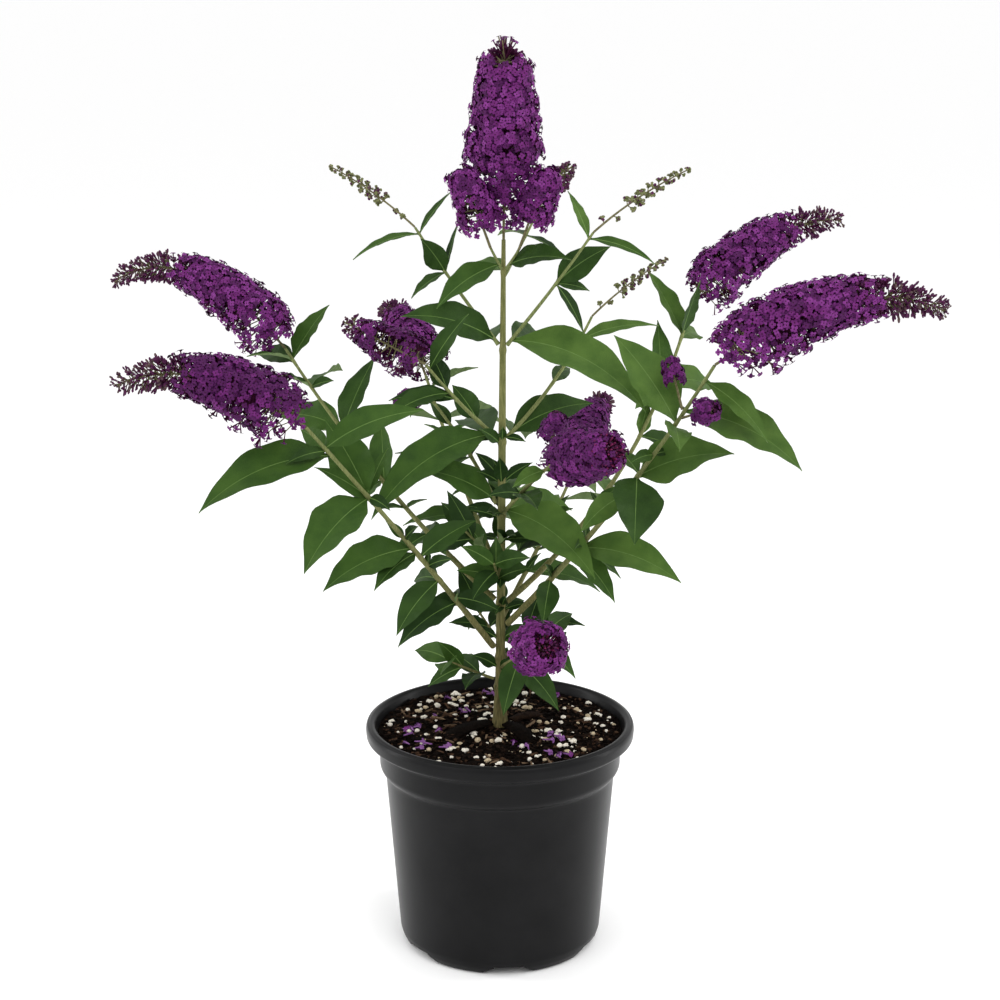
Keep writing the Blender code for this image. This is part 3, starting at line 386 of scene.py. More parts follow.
def tube(batch, points, radii, sides, slot, wobble=None):
    """Add a tapering tube through the points, with its ends closed."""
    count = len(points)
    across = None
    verts = []
    for index in range(count):
        along = (points[min(index + 1, count - 1)] - points[max(index - 1, 0)]).normalized()
        across = along.orthogonal() if across is None else across - along * across.dot(along)
        across.normalize()
        other = along.cross(across)
        for side in range(sides):
            radius = radii[index] * (1 if wobble is None else wobble(index, side))
            verts.append(points[index] + around(across, other, math.tau * side / sides) * radius)
    faces = []
    for index in range(count - 1):
        faces.extend(band(index * sides, (index + 1) * sides, sides))
    faces.append(tuple(range((count - 1) * sides, count * sides)))
    faces.append(tuple(reversed(range(sides))))
    batch.add(verts, faces, slot)


def object_of(name, shape):
    """Put a bmesh into the scene as an object, and free it."""
    bmesh.ops.recalc_face_normals(shape, faces=shape.faces)
    mesh = bpy.data.meshes.new(name)
    shape.to_mesh(mesh)
    shape.free()
    made = bpy.data.objects.new(name, mesh)
    bpy.context.scene.collection.objects.link(made)
    return made


# Materials
DULL = 0.03
MATT = 0.10
LIVELY = 0.5
STREAK_SCALE = (900, 900, 90)
MIX_FIRST, MIX_SECOND = 6, 7
MIX_RESULT = 2


def srgb(red, green, blue):
    """Linear colour from 0-255 screen values."""
    out = []
    for value in (red, green, blue):
        share = value / 255
        out.append(share / 12.92 if share <= 0.04045 else ((share + 0.055) / 1.055) ** 2.4)
    return tuple(out)


def shader_of(name):
    made = bpy.data.materials.new(name)
    made.use_nodes = True
    return made, made.node_tree, made.node_tree.nodes["Principled BSDF"]


def add_node(tree, kind, values):
    made = tree.nodes.new(kind)
    for key, value in values.items():
        made.inputs[key].default_value = value
    return made


def add_noise(tree, place, scale, detail):
    cloud = add_node(tree, "ShaderNodeTexNoise", {"Scale": scale, "Detail": detail})
    tree.links.new(place, cloud.inputs["Vector"])
    return cloud.outputs["Fac"]


def add_ramp(tree, share, tones, low, high):
    """Blend from a dark to a light screen tone while the share goes from low to high."""
    ramp = tree.nodes.new("ShaderNodeValToRGB")
    for element, position, tone in zip(ramp.color_ramp.elements, (low, high), tones):
        element.position = position
        element.color = (*srgb(*tone), 1)
    tree.links.new(share, ramp.inputs["Fac"])
    return ramp.outputs["Color"]


def add_relief(tree, shader, height, strength, distance):
    relief = add_node(tree, "ShaderNodeBump", {"Strength": strength, "Distance": distance})
    tree.links.new(height, relief.inputs["Height"])
    tree.links.new(relief.outputs["Normal"], shader.inputs["Normal"])


def mottled(name, dark, light, scale, rough, bump=0.0, bump_scale=0, specular=MATT):
    """A surface whose colour wanders between two tones by noise, with fine relief."""
    made, tree, shader = shader_of(name)
    place = tree.nodes.new("ShaderNodeTexCoord").outputs["Object"]
    colour = add_ramp(tree, add_noise(tree, place, scale, 4), (dark, light), 0.32, 0.68)
    tree.links.new(colour, shader.inputs["Base Color"])
    shader.inputs["Roughness"].default_value = rough
    shader.inputs["Specular IOR Level"].default_value = specular
    if bump:
        add_relief(tree, shader, add_noise(tree, place, bump_scale, 6), bump, 0.001)
    return made


def stem_material(name, low, high, low_height, high_height):
    """Bark that goes from one pair of tones at its foot to another higher up, streaked along its length."""
    made, tree, shader = shader_of(name)
    nodes, links = tree.nodes, tree.links
    place = nodes.new("ShaderNodeTexCoord").outputs["Object"]
    parts = nodes.new("ShaderNodeSeparateXYZ")
    links.new(place, parts.inputs["Vector"])
    height = add_node(tree, "ShaderNodeMapRange", {"From Min": low_height, "From Max": high_height})
    links.new(parts.outputs["Z"], height.inputs["Value"])
    stretch = add_node(tree, "ShaderNodeMapping", {"Scale": STREAK_SCALE})
    links.new(place, stretch.inputs["Vector"])
    streak = add_noise(tree, stretch.outputs["Vector"], 1.0, 5)
    tones = [add_ramp(tree, streak, pair, 0.35, 0.65) for pair in (low, high)]
    mix = nodes.new("ShaderNodeMix")
    mix.data_type = "RGBA"
    links.new(height.outputs["Result"], mix.inputs["Factor"])
    links.new(tones[0], mix.inputs[MIX_FIRST])
    links.new(tones[1], mix.inputs[MIX_SECOND])
    links.new(mix.outputs[MIX_RESULT], shader.inputs["Base Color"])
    shader.inputs["Roughness"].default_value = 0.7
    shader.inputs["Specular IOR Level"].default_value = 0.15
    add_relief(tree, shader, streak, 0.5, 0.0006)
    return made


def pot_material():
    """Black plastic with faint clouds in its tone and in its shine."""
    made, tree, shader = shader_of("black moulded plastic")
    place = tree.nodes.new("ShaderNodeTexCoord").outputs["Object"]
    cloud = add_noise(tree, place, 26, 6)
    colour = add_ramp(tree, cloud, ((11, 11, 12), (18, 18, 19)), 0.35, 0.70)
    tree.links.new(colour, shader.inputs["Base Color"])
    rough = add_node(tree, "ShaderNodeMapRange", {"To Min": 0.27, "To Max": 0.39})
    tree.links.new(cloud, rough.inputs["Value"])
    tree.links.new(rough.outputs["Result"], shader.inputs["Roughness"])
    shader.inputs["Specular IOR Level"].default_value = 0.12
    add_relief(tree, shader, add_noise(tree, place, 900, 3), 0.12, 0.0005)
    return made


LEAF_GREENS = [
    mottled("leaf green mid", (44, 70, 24), (56, 83, 30), 60, 0.55, 0.25, 900),
    mottled("leaf green deep", (35, 58, 20), (46, 71, 26), 60, 0.52, 0.25, 900),
    mottled("leaf green fresh", (59, 86, 33), (74, 101, 42), 60, 0.55, 0.25, 900),
    mottled("leaf green dark", (26, 47, 17), (36, 59, 22), 60, 0.52, 0.25, 900),
]
LEAF_UNDER = mottled("leaf underside felt", (92, 114, 70), (112, 130, 86), 120, 0.85, 0.3, 2500)
LEAF_RIB = mottled("leaf midrib", (82, 110, 54), (98, 124, 66), 200, 0.6)
TWIG = stem_material("shoot bark", ((92, 92, 54), (120, 118, 76)), ((98, 108, 62), (124, 132, 84)),
                     0.30, 0.55)
BARK = stem_material("stem bark", ((68, 64, 38), (112, 102, 64)), ((90, 94, 52), (120, 120, 74)), 0.205, 0.42)
PETALS = [
    mottled("petal violet", (85, 26, 87), (104, 37, 106), 300, 0.6, 0.2, 2500),
    mottled("petal deep", (60, 17, 63), (78, 25, 81), 300, 0.6, 0.2, 2500),
    mottled("petal bright", (100, 38, 104), (120, 51, 124), 300, 0.6, 0.2, 2500),
]
EYE = mottled("floret eye", (30, 6, 24), (58, 18, 30), 900, 0.7)
CALYX = mottled("floret tube", (52, 14, 40), (78, 22, 58), 400, 0.75)
HEART_TUBE = mottled("inner floret tube", (88, 24, 60), (120, 38, 82), 400, 0.75)
BUD_PURPLE = mottled("bud maroon", (54, 22, 50), (86, 38, 74), 500, 0.7)
BUD_GREEN = mottled("bud green", (84, 90, 56), (120, 122, 84), 500, 0.8)
BUD_DUSK = mottled("bud dusk", (66, 46, 56), (96, 78, 76), 500, 0.8)
STALK = mottled("bloom stalk", (88, 84, 56), (122, 116, 86), 400, 0.8)
FADED = mottled("faded petal", (112, 68, 126), (140, 96, 152), 300, 0.7)

# Slots of those materials in the batches of leaves, florets, stalks and buds
MID, DEEP, FRESH, DARK, UNDERSIDE, RIB = range(6)
VIOLET, DUSKY, BRIGHT, EYE_SPOT = range(4)
GREEN_STALK, FLORET_TUBE, HEART = range(3)
BUD_MAROON, BUD_TUBE, GREENISH, GREYISH = range(4)


# Leaves
OUTLINE_SHARES = np.array([share for share, breadth in LEAF_OUTLINE])
OUTLINE_BREADTHS = np.array([breadth for share, breadth in LEAF_OUTLINE])
LEAF_STEPS = 32
LEAF_STATIONS = ((0.06, 22), (0.035, 16), (0.0, 12))
LEAF_COLUMNS = (0.13, 0.40, 0.70, 1.0)
LEAF_THICKNESS = 0.00032
RIB_THICKNESS = 0.0008
RIB_HALF = 0.00038
VEIN_SPACING = 0.0075
AXIL_HEIGHTS = (0.258, 0.285, 0.312, 0.342, 0.372, 0.398, 0.430, 0.462)
AXIL_PLACES = (0.52, 0.70)
AXIL_LEAVES_ROUND = 5
# Darker greens for short leaves near the stem, as painted shade of the inner crown
INNER_PAINTED_SHADE_GREENS = (DEEP, DARK, DEEP)
# Duller greens on the left and fresher greens on the right, as painted light from the right
LEFT_PAINTED_SHADE_GREENS = (MID, DEEP, MID, MID, MID, DEEP)
RIGHT_PAINTED_LIGHT_GREENS = (FRESH, MID, FRESH, FRESH, FRESH, DEEP)
# Darker greens for the low twigs' leaves, as painted shade under the crown
LOW_PAINTED_SHADE_GREENS = (DARK, DEEP, DARK, DEEP, MID)
# Darker greens for the axil leaves, as painted shade near the trunk and boughs
STEM_AXIL_PAINTED_SHADE_GREENS = (DEEP, DARK, DARK)
BOUGH_AXIL_PAINTED_SHADE_GREENS = (DEEP, DARK, MID)


def leaf_face(point):
    """The way a leaf's upper side is turned: up, outward and, near the front, to the viewer."""
    outward = Vector((point.x, point.y, 0))
    if outward.length > 0:
        outward.normalize()
    facing = Vector((0, 0, FACE_UP)) + outward * FACE_OUT
    if point.y < FACE_FRONT_LIMIT:
        facing += Vector((0, -FACE_FRONT, 0))
    return facing


def smooth_breadth(share):
    """Half width as a share of the greatest, rounded between the outline's points."""
    total = 0.0
    for offset, weight in ((-0.03, 0.25), (0.0, 0.5), (0.03, 0.25)):
        total += weight * float(np.interp(share + offset, OUTLINE_SHARES, OUTLINE_BREADTHS))
    return total if share < 0.985 else 0.0


def leaf(batch, rng, base, heading, rise, length, width_share, shade):
    """A drooping blade, folded at its rib, waved at its edges and quilted between its veins."""
    droop = -(DROOP_AT_REST + DROOP_PER_METRE * length) * math.cos(math.radians(rise))
    midrib = course(base, heading, rise, length, droop, 0, LEAF_STEPS)
    facing = leaf_face(midrib[LEAF_STEPS // 2])
    half_width = length * width_share / 2
    ripple = rng.uniform(0.05, 0.11)
    beat = rng.uniform(3.0, 4.5)
    phase = rng.uniform(0, math.tau)
    twist = rng.uniform(-0.22, 0.22)
    veins = max(6, round(length / VEIN_SPACING))
    stations = next(count for limit, count in LEAF_STATIONS if length > limit)
    top = []
    under = []
    for station in range(stations + 1):
        share = (station / stations) ** 0.95
        point, along = place_on(midrib, share)
        side = along.cross(facing).normalized()
        normal = side.cross(along).normalized()
        turn = Matrix.Rotation(twist * share, 3, along)
        side = turn @ side
        normal = turn @ normal
        reach = max(half_width * smooth_breadth(share), PETIOLE_HALF_WIDTH * (1 - share) + 0.00012)
        rib = min(RIB_HALF * (1.25 - share), reach * 0.30)
        row = []
        low = []
        for hand in (-1, 1):
            places = [rib] + [rib + (reach - rib) * part for part in LEAF_COLUMNS]
            if hand < 0:
                places = list(reversed(places))
            for place in places:
                part = min(max((place - rib) / max(reach - rib, 1e-6), 0), 1)
                lift = place * LEAF_FOLD + reach * 0.10 * part * part
                lift += reach * ripple * part * part * math.sin(beat * math.tau * share + phase + hand)
                quilt = math.sin(math.tau * (share * veins - part * 0.9))
                lift += 0.00030 * min(1.0, reach / 0.006) * quilt * math.sin(math.pi * min(part, 0.97))
                spot = point + side * (hand * place) + normal * lift
                row.append(spot)
                thin = LEAF_THICKNESS if part < 0.98 else 0.0
                if part < 0.02:
                    thin = RIB_THICKNESS
                low.append(spot - normal * thin)
        top.append(row)
        under.append(low)
    columns = len(top[0])
    verts = []
    index_top = []
    index_under = []
    for row, low in zip(top, under):
        line = []
        for spot in row:
            line.append(len(verts))
            verts.append(spot)
        index_top.append(line)
        line_under = []
        for column, spot in enumerate(low):
            if column in (0, columns - 1):
                line_under.append(line[column])
            else:
                line_under.append(len(verts))
                verts.append(spot)
        index_under.append(line_under)
    faces = []
    slots = []
    for station in range(stations):
        for column in range(columns - 1):
            centre = column == columns // 2 - 1
            for sheet, slot in ((index_top, RIB if centre else shade), (index_under, UNDERSIDE)):
                near, after = sheet[station][column], sheet[station][column + 1]
                far, far_after = sheet[station + 1][column], sheet[station + 1][column + 1]
                if sheet is index_top:
                    faces.extend(((near, after, far_after), (near, far_after, far)))
                else:
                    faces.extend(((near, far_after, after), (near, far, far_after)))
                slots.extend((slot, slot))
    for line, line_under in ((index_top[0], index_under[0]), (index_top[-1], index_under[-1])):
        loop = list(line) + list(reversed(line_under[1:-1]))
        faces.append(tuple(loop) if line is index_top[-1] else tuple(reversed(loop)))
        slots.append(UNDERSIDE)
    batch.add(verts, faces, slots)


# Blooms
FLORET_SIZES = (0.0025, 0.0033)
DEEP_FLORET_SIZES = (0.0026, 0.0034)
CROWN_FLORET_SIZE = 0.0023
FALLEN_FLORET_SIZES = (0.0026, 0.0036)
DEEP_HEADS = 4
EYE_POINTS = 8
LOBE_POINTS = 16
BUD_RINGS = ((0.0, 0.34), (0.60, 0.42), (0.80, 1.0), (0.95, 0.74))
BUD_SIDES = 5
GOLDEN_TURN = math.radians(137.508)
CYME_CELL = 1.05e-4
DEEP_CELL = 1.7e-4
BUD_CELL = 4.7e-5
TUBE_LENGTH = 0.0095
CYME_FAN = 0.74
SKIRT_HEADS = 7
SKIRT_FAN = 0.6
SKIRT_CHANCE = 0.9
SKIRT_BUD_HEADS = 6
CAP_FAN = 0.72
FULLY_OPEN = 0.9
HANGING_SHARE = 0.40
CAP_CHANCE = 0.92
BUDDED_CHANCE = 0.12
FRONT = Vector((0, -1, 0))
FRONT_LEAN = 0.75
HEART_TUBES = 70
CROWN_FLORETS = 16
TIP_BUDS = 7
CORE_RINGS = 14
CORE_LEAST_RADIUS = 0.0295
# Blooms that draw the deep petal tone more often, as painted shade
PAINTED_SHADE_BLOOMS = ("panicle_left_front", "panicle_middle_right", "panicle_middle_left", "panicle_back_right")
DUSKY_TONES = (VIOLET, DUSKY, DUSKY)
OPEN_TONES = (VIOLET, VIOLET, DUSKY, BRIGHT)
SPIKE_STALK_RADIUS = 0.0010
BUD_WHORLS = 12
BUDS_PER_CLUSTER = 9
SPIKE_TIP_BUDS = 8
# How full a spike is, and the slots of its buds
PLAIN_SPIKE = (1.0, (GREENISH, GREENISH, GREYISH, GREENISH, BUD_MAROON))
SPIKE_LOOKS = {"bud_spike_back": (1.35, (BUD_MAROON, BUD_MAROON, GREYISH))}


def swell(share, open_share):
    """The radius of a blossom along it, as a share of the greatest."""
    foot = min(1.0, 0.62 + share * 3.2)
    if share <= open_share:
        tail = 0.42 if open_share < FULLY_OPEN else 0.46
        return foot * (1 - tail * (share / open_share) ** 1.6)
    edge = swell(open_share, open_share)
    tail = 0.58 - 0.32 * (share - open_share) / (1 - open_share)
    return edge + (tail - edge) * min((share - open_share) / 0.10, 1.0)


def floret(batch, rng, spot, facing, size, shade):
    """Four rounded lobes round a small dark eye."""
    across = facing.orthogonal().normalized()
    other = facing.cross(across)
    roll = rng.uniform(0, math.tau)
    cup = rng.uniform(-0.36, -0.04)
    verts = [spot - facing * size * 0.16]
    for index in range(EYE_POINTS):
        verts.append(spot + around(across, other, roll + math.tau * index / EYE_POINTS) * size * 0.19)
    for index in range(LOBE_POINTS):
        angle = roll + math.tau * index / LOBE_POINTS
        lobe = abs(math.cos(2 * angle - 2 * roll))
        reach = size * (0.58 + 0.42 * lobe ** 0.55) * rng.uniform(0.97, 1.03)
        rise = size * (cup * lobe + rng.uniform(-0.04, 0.04))
        verts.append(spot + around(across, other, angle) * reach + facing * rise)
    faces = [(0, 1 + index, 1 + (index + 1) % EYE_POINTS) for index in range(EYE_POINTS)]
    slots = [EYE_SPOT] * EYE_POINTS
    for index in range(EYE_POINTS):
        inner = 1 + index
        inner_after = 1 + (index + 1) % EYE_POINTS
        outer = 1 + EYE_POINTS + 2 * index
        middle = outer + 1
        outer_after = 1 + EYE_POINTS + (2 * index + 2) % LOBE_POINTS
        faces.extend(((inner, outer, middle), (inner, middle, inner_after),
                      (inner_after, middle, outer_after)))
        slots.extend((shade, shade, shade))
    batch.add(verts, faces, slots)


def spindle(batch, foot, tip, foot_radius, tip_radius, slot, sides=3):
    """A thin closed rod, such as a floret's tube."""
    along = (tip - foot).normalized()
    across = along.orthogonal().normalized()
    other = along.cross(across)
    verts = []
    for place, radius in ((foot, foot_radius), (tip, tip_radius)):
        for side in range(sides):
            verts.append(place + around(across, other, math.tau * side / sides) * radius)
    faces = [tuple(reversed(range(sides))), tuple(range(sides, 2 * sides))]
    batch.add(verts, faces + band(0, sides, sides), slot)


def bud(batch, foot, outward, length, radius, slot, stalk_slot):
    """A club-shaped bud on its tube."""
    across = outward.orthogonal().normalized()
    other = outward.cross(across)
    verts = []
    for share, breadth in BUD_RINGS:
        for side in range(BUD_SIDES):
            verts.append(foot + outward * length * share
                         + around(across, other, math.tau * side / BUD_SIDES) * radius * breadth)
    verts.append(foot + outward * length)
    faces = [tuple(reversed(range(BUD_SIDES)))]
    slots = [stalk_slot]
    for ring in range(len(BUD_RINGS) - 1):
        faces.extend(band(ring * BUD_SIDES, (ring + 1) * BUD_SIDES, BUD_SIDES))
        slots.extend([stalk_slot if ring == 0 else slot] * BUD_SIDES)
    last = (len(BUD_RINGS) - 1) * BUD_SIDES
    for side in range(BUD_SIDES):
        faces.append((last + side, last + (side + 1) % BUD_SIDES, len(verts) - 1))
        slots.append(slot)
    batch.add(verts, faces, slots)


def peduncle(batch, points, reached, steps, radius, sides):
    """The stalk of a bloom, which thins to half its radius where it ends."""
    radii = [radius * (1 - 0.5 * share) for share in even_shares(steps, 0, 1)]
    tube(batch, places_on(points, even_shares(steps, 0, reached)), radii, sides, GREEN_STALK)


class Bloom:
    """The batches that blooms grow into, with their random draws, petal tones and the panicle in hand."""

    def __init__(self, florets, buds, stalks, rng, tones):
        self.florets = florets
        self.buds = buds
        self.stalks = stalks
        self.rng = rng
        self.tones = tones

    def cyme(self, centre, spoke, along, reach, heads, fan, open_chance):
        """A small fan of florets and buds on one side stalk."""
        rng = self.rng
        tube_length = min(TUBE_LENGTH, reach * 0.55)
        knot = centre + spoke * (reach - tube_length)
        spindle(self.stalks, centre, knot, 0.0006, 0.0005, GREEN_STALK)
        sideways = along.cross(spoke)
        sideways = (sideways if sideways.length > 0.05 else spoke.orthogonal()).normalized()
        upward = spoke.cross(sideways).normalized()
        shade = rng.choice(self.tones)
        turn = rng.uniform(0, math.tau)
        for head in range(heads):
            tilt = 0.0 if head == 0 else fan * rng.uniform(0.65, 1.15)
            swing = turn + math.tau * (head + rng.uniform(-0.25, 0.25)) / (heads - 1)
            axis = (spoke * math.cos(tilt) + around(sideways, upward, swing) * math.sin(tilt)).normalized()
            if rng.random() < open_chance:
                spot = knot + axis * (tube_length * rng.uniform(0.74, 1.08))
                facing = (axis + spoke * 0.50 + random_vector(rng, -0.24, 0.24)).normalized()
                size = rng.uniform(*FLORET_SIZES)
                tone = shade if rng.random() < 0.3 else rng.choice(self.tones)
                floret(self.florets, rng, spot, facing, size, tone)
                spindle(self.stalks, knot, spot - facing * size * 0.12, 0.00042, 0.0007, FLORET_TUBE)
            else:
                far = tube_length * rng.uniform(0.55, 1.0)
                radius = min(0.0013, far * 0.26) * rng.uniform(0.8, 1.05)
                bud(self.buds, knot, axis, far, radius, BUD_MAROON, BUD_TUBE)

    def deep_cyme(self, centre, spoke, reach):
        """Florets under the outer ones, all in the deep petal tone as painted shade."""
        rng = self.rng
        for head in range(DEEP_HEADS):
            axis = (spoke + random_vector(rng, -1, 1) * 0.35).normalized()
            spot = centre + axis * reach * rng.uniform(0.86, 1.06)
            facing = (axis + random_vector(rng, -1, 1) * 0.5).normalized()
            # The deep petal tone here is painted shade
            floret(self.florets, rng, spot, facing, rng.uniform(*DEEP_FLORET_SIZES), DUSKY)
            spindle(self.stalks, centre + axis * reach * 0.45, spot, 0.0005, 0.0007, FLORET_TUBE)

    def bud_cluster(self, centre, spoke, along, reach, heads, slim):
        """Clubs on thin tubes that fan out from near the stalk."""
        rng = self.rng
        knot = centre + spoke * reach * 0.30
        spindle(self.stalks, centre, knot, 0.0006, 0.0004, GREEN_STALK)
        for head in range(heads):
            spread = random_vector(rng, -1, 1) * (0.0 if head == 0 else 0.55)
            axis = (spoke + along * 0.10 + spread).normalized()
            length = reach * rng.uniform(0.48, 0.78)
            radius = 0.00120 * slim * rng.uniform(0.85, 1.1)
            tone = rng.choice((BUD_MAROON, BUD_MAROON, BUD_MAROON, GREYISH))
            foot_tone = rng.choice((BUD_TUBE, BUD_TUBE, BUD_TUBE, GREENISH))
            bud(self.buds, knot, axis, length, radius, tone, foot_tone)

    def at(self, share):
        """Centre and direction of the stalk at a share of the blossom, with the cross direction squared."""
        centre, along = place_on(self.points, self.bare + (1 - self.bare) * share)
        self.across = squared(self.across, along)
        return centre, along

    def outward(self, along, angle):
        """The cross direction turned about the stalk."""
        return Matrix.Rotation(angle, 3, along) @ self.across

    def dome_spoke(self, along, step, climb):
        """A direction in the dome over the tip, by golden turns round it and by its climb."""
        flat = math.sqrt(1 - climb * climb)
        return (self.outward(along, step * GOLDEN_TURN) * flat + along * climb).normalized()

    def cymes(self, limit, window):
        """Cymes up the stalk by golden turns, and bud clusters past the open share."""
        rng = self.rng
        share = 0.004 / self.blossom
        step = 0
        while share < limit:
            centre, along = self.at(share)
            reach = self.radius * swell(share, self.open_share)
            chance = 1.0 if self.full else min(max((self.open_share + 0.06 - share) / 0.17, 0.0), 1.0)
            outward = self.outward(along, step * GOLDEN_TURN + rng.uniform(-0.10, 0.10))
            step += 1
            if chance <= 0.12:
                share += BUD_CELL / (math.tau * reach * self.blossom)
                inner = (share - self.open_share) / (1 - self.open_share)
                lean = rng.uniform(0.15, 0.75)
                out = reach * rng.uniform(0.88, 1.18)
                heads = rng.choice((3, 4, 4) if inner < 0.6 else (3, 3, 4))
                spoke = (outward + along * lean).normalized()
                self.bud_cluster(centre, spoke, along, out, heads, 1.05 - 0.30 * inner)
                continue
            share += CYME_CELL / (math.tau * reach * self.blossom)
            if window:
                low, high, squarely = window
                if low < share < high and outward.dot(FRONT) > squarely and rng.random() < 0.8:
                    continue
            hanging = outward.z < 0.05 and share < HANGING_SHARE and not self.full
            if hanging and rng.random() < 0.45:
                continue
            lean = rng.uniform(-0.10, 0.30) + FRONT_LEAN * max(along.dot(FRONT), 0.0)
            out = reach * (rng.uniform(0.80, 1.20) if hanging else rng.uniform(0.88, 1.04))
            heads = rng.choice((4, 5, 6) if hanging else (7, 7, 8, 8))
            self.cyme(centre, (outward + along * lean).normalized(), along, out, heads, CYME_FAN, chance)

    def cap(self, centre, along, cap_radius, heart_climb, crown):
        """A dome of cymes over the tip, in bud past the given climb."""
        rng = self.rng
        steps = max(8, round(math.tau * cap_radius ** 2 / CYME_CELL))
        for step in range(steps):
            climb = (step + 0.5) / steps
            spoke = self.dome_spoke(along, step, climb)
            if crown and spoke.dot(FRONT) > 0.34:
                continue
            foot = centre - along * cap_radius * 0.25 * rng.random()
            out = cap_radius * rng.uniform(0.84, 1.0)
            chance = BUDDED_CHANCE if climb > heart_climb else CAP_CHANCE
            self.cyme(foot, spoke, along, out, rng.choice((6, 6, 7)), CAP_FAN, chance)

    def crown_florets(self, centre, along, cap_radius):
        """Small florets that stand up at the very top."""
        rng = self.rng
        for step in range(CROWN_FLORETS):
            spoke = (self.outward(along, step * GOLDEN_TURN) * rng.uniform(0.1, 0.9) + along).normalized()
            spot = centre + spoke * cap_radius * rng.uniform(0.96, 1.06)
            floret(self.florets, rng, spot, spoke, CROWN_FLORET_SIZE, rng.choice(self.tones))
            spindle(self.stalks, centre, spot, 0.0005, 0.0006, rng.choice((GREEN_STALK, FLORET_TUBE)))

    def tip_buds(self, centre, along):
        """Tight buds that end a panicle still in bud."""
        rng = self.rng
        for step in range(TIP_BUDS):
            spread = random_vector(rng, -1, 1) * 0.55
            bud(self.buds, centre, (along + spread).normalized(), 0.0032, 0.0007, BUD_MAROON, GREENISH)

    def heart_tubes(self, centre, along, cap_radius):
        """Pink tubes of florets yet to open, over the heart of the cap."""
        foot = centre - along * cap_radius * 0.45
        for step in range(HEART_TUBES):
            spoke = self.dome_spoke(along, step, 1 - 0.62 * (step + 0.5) / HEART_TUBES)
            tip = foot + spoke * cap_radius * self.rng.uniform(1.05, 1.30)
            spindle(self.stalks, foot, tip, 0.0003, 0.0009, HEART)

    def core(self, end):
        """Florets in the deep petal tone as painted shade, round a dark core, so that no daylight shows
        through.
        """
        start = 0.03 if self.full else 0.20
        share = start
        step = 0
        while share < end:
            centre, along = self.at(share)
            reach = self.radius * swell(share, self.open_share) * 0.82
            self.deep_cyme(centre, self.outward(along, step * GOLDEN_TURN), reach)
            share += DEEP_CELL / (math.tau * reach * self.blossom)
            step += 1
        shares = even_shares(CORE_RINGS, start, end)
        places = places_on(self.points, [self.bare + (1 - self.bare) * share for share in shares])
        radii = [self.radius * swell(share, self.open_share) * 0.44 for share in shares]
        radii[0] *= 0.25
        radii[-1] *= 0.25
        tube(self.stalks, places, radii, 9, FLORET_TUBE,
             wobble=lambda index, side: 0.82 if (index + side) % 2 else 1.12)

    def panicle(self, points, bare, radius, open_share, core_end=0.0, heart_climb=1.0, window=None,
                crown=False):
        """Cymes all round a stalk, thinning to buds towards the tip."""
        self.points = points
        self.bare = bare
        self.radius = radius
        self.open_share = open_share
        self.full = open_share > FULLY_OPEN
        self.blossom = sum((after - before).length for before, after in zip(points, points[1:])) * (1 - bare)
        self.across = place_on(points, bare)[1].orthogonal().normalized()
        cap_radius = radius * swell(open_share, open_share)
        limit = 1 - cap_radius * 0.92 / self.blossom if self.full else 1.0
        reached = bare + (1 - bare) * (limit + 0.35 * (1 - limit))
        peduncle(self.stalks, points, reached, 24, PEDUNCLE_RADIUS, 8)
        self.cymes(limit, window)
        centre, along = self.at(min(limit, 0.985))
        if self.full:
            self.cap(centre, along, cap_radius, heart_climb, crown)
        else:
            self.tip_buds(centre, along)
        if crown:
            self.crown_florets(centre, along, cap_radius)
        elif heart_climb < 1 and radius > 0.02:
            self.heart_tubes(centre, along, cap_radius)
        if core_end:
            self.core(core_end)


def bud_spike(buds, stalks, rng, points, radius, tones):
    """A stalk with paired clusters of tight buds that close up towards the tip."""
    peduncle(stalks, points, 1, 16, SPIKE_STALK_RADIUS, 7)
    across = place_on(points, 0)[1].orthogonal().normalized()
    clusters = [(share, roll, 0.80) for share, roll in BUD_SIDE_CLUSTERS]
    for whorl in range(BUD_WHORLS):
        share = BUD_SPIKE_FOOT + (1 - BUD_SPIKE_FOOT) * (whorl + 0.3) / BUD_WHORLS
        size = 1.0 - 0.58 * whorl / BUD_WHORLS
        for half in (0, 180):
            clusters.append((share, half + 90 * (whorl % 2) + rng.uniform(-15, 15), size))
    for share, roll, size in clusters:
        centre, along = place_on(points, share)
        across = squared(across, along)
        outward = Matrix.Rotation(math.radians(roll), 3, along) @ across
        knot = centre + (outward + along * 0.4).normalized() * radius * size * 0.42
        spindle(stalks, centre, knot, 0.0006, 0.0005, GREEN_STALK)
        for index in range(BUDS_PER_CLUSTER):
            spoke = (outward + along * 0.55 + random_vector(rng, -1, 1) * 0.85).normalized()
            reach = radius * size * rng.uniform(0.50, 0.85)
            bud(buds, knot, spoke, reach, 0.0016 * (0.50 + 0.5 * size), rng.choice(tones), GREENISH)
    centre, along = place_on(points, 0.97)
    for index in range(SPIKE_TIP_BUDS):
        spoke = (along + random_vector(rng, -1, 1) * 0.45).normalized()
        bud(buds, centre, spoke, 0.0034, 0.0008, GREENISH, GREENISH)


# Scene
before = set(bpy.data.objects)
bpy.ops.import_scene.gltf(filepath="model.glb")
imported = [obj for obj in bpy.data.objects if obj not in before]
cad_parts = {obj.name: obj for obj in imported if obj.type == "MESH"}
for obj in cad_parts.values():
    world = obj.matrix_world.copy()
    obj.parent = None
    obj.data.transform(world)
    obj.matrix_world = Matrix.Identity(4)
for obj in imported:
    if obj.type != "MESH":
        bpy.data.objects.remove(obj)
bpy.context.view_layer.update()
CAD_NODES = set(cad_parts)

# Stem and boughs
bark = Batch()
heights = []
height = STEM_FOOT
while height < STEM_TOP - 0.0005:
    heights.append(height)
    height += STEM_STEP
heights.append(STEM_TOP)


def stem_swell(level):
    """How much the stem swells at a height, 1 at the middle of a node."""
    return sum(math.exp(-((level - node) / 0.0026) ** 2) for node in STEM_NODE_HEIGHTS + STEM_SCAR_HEIGHTS)


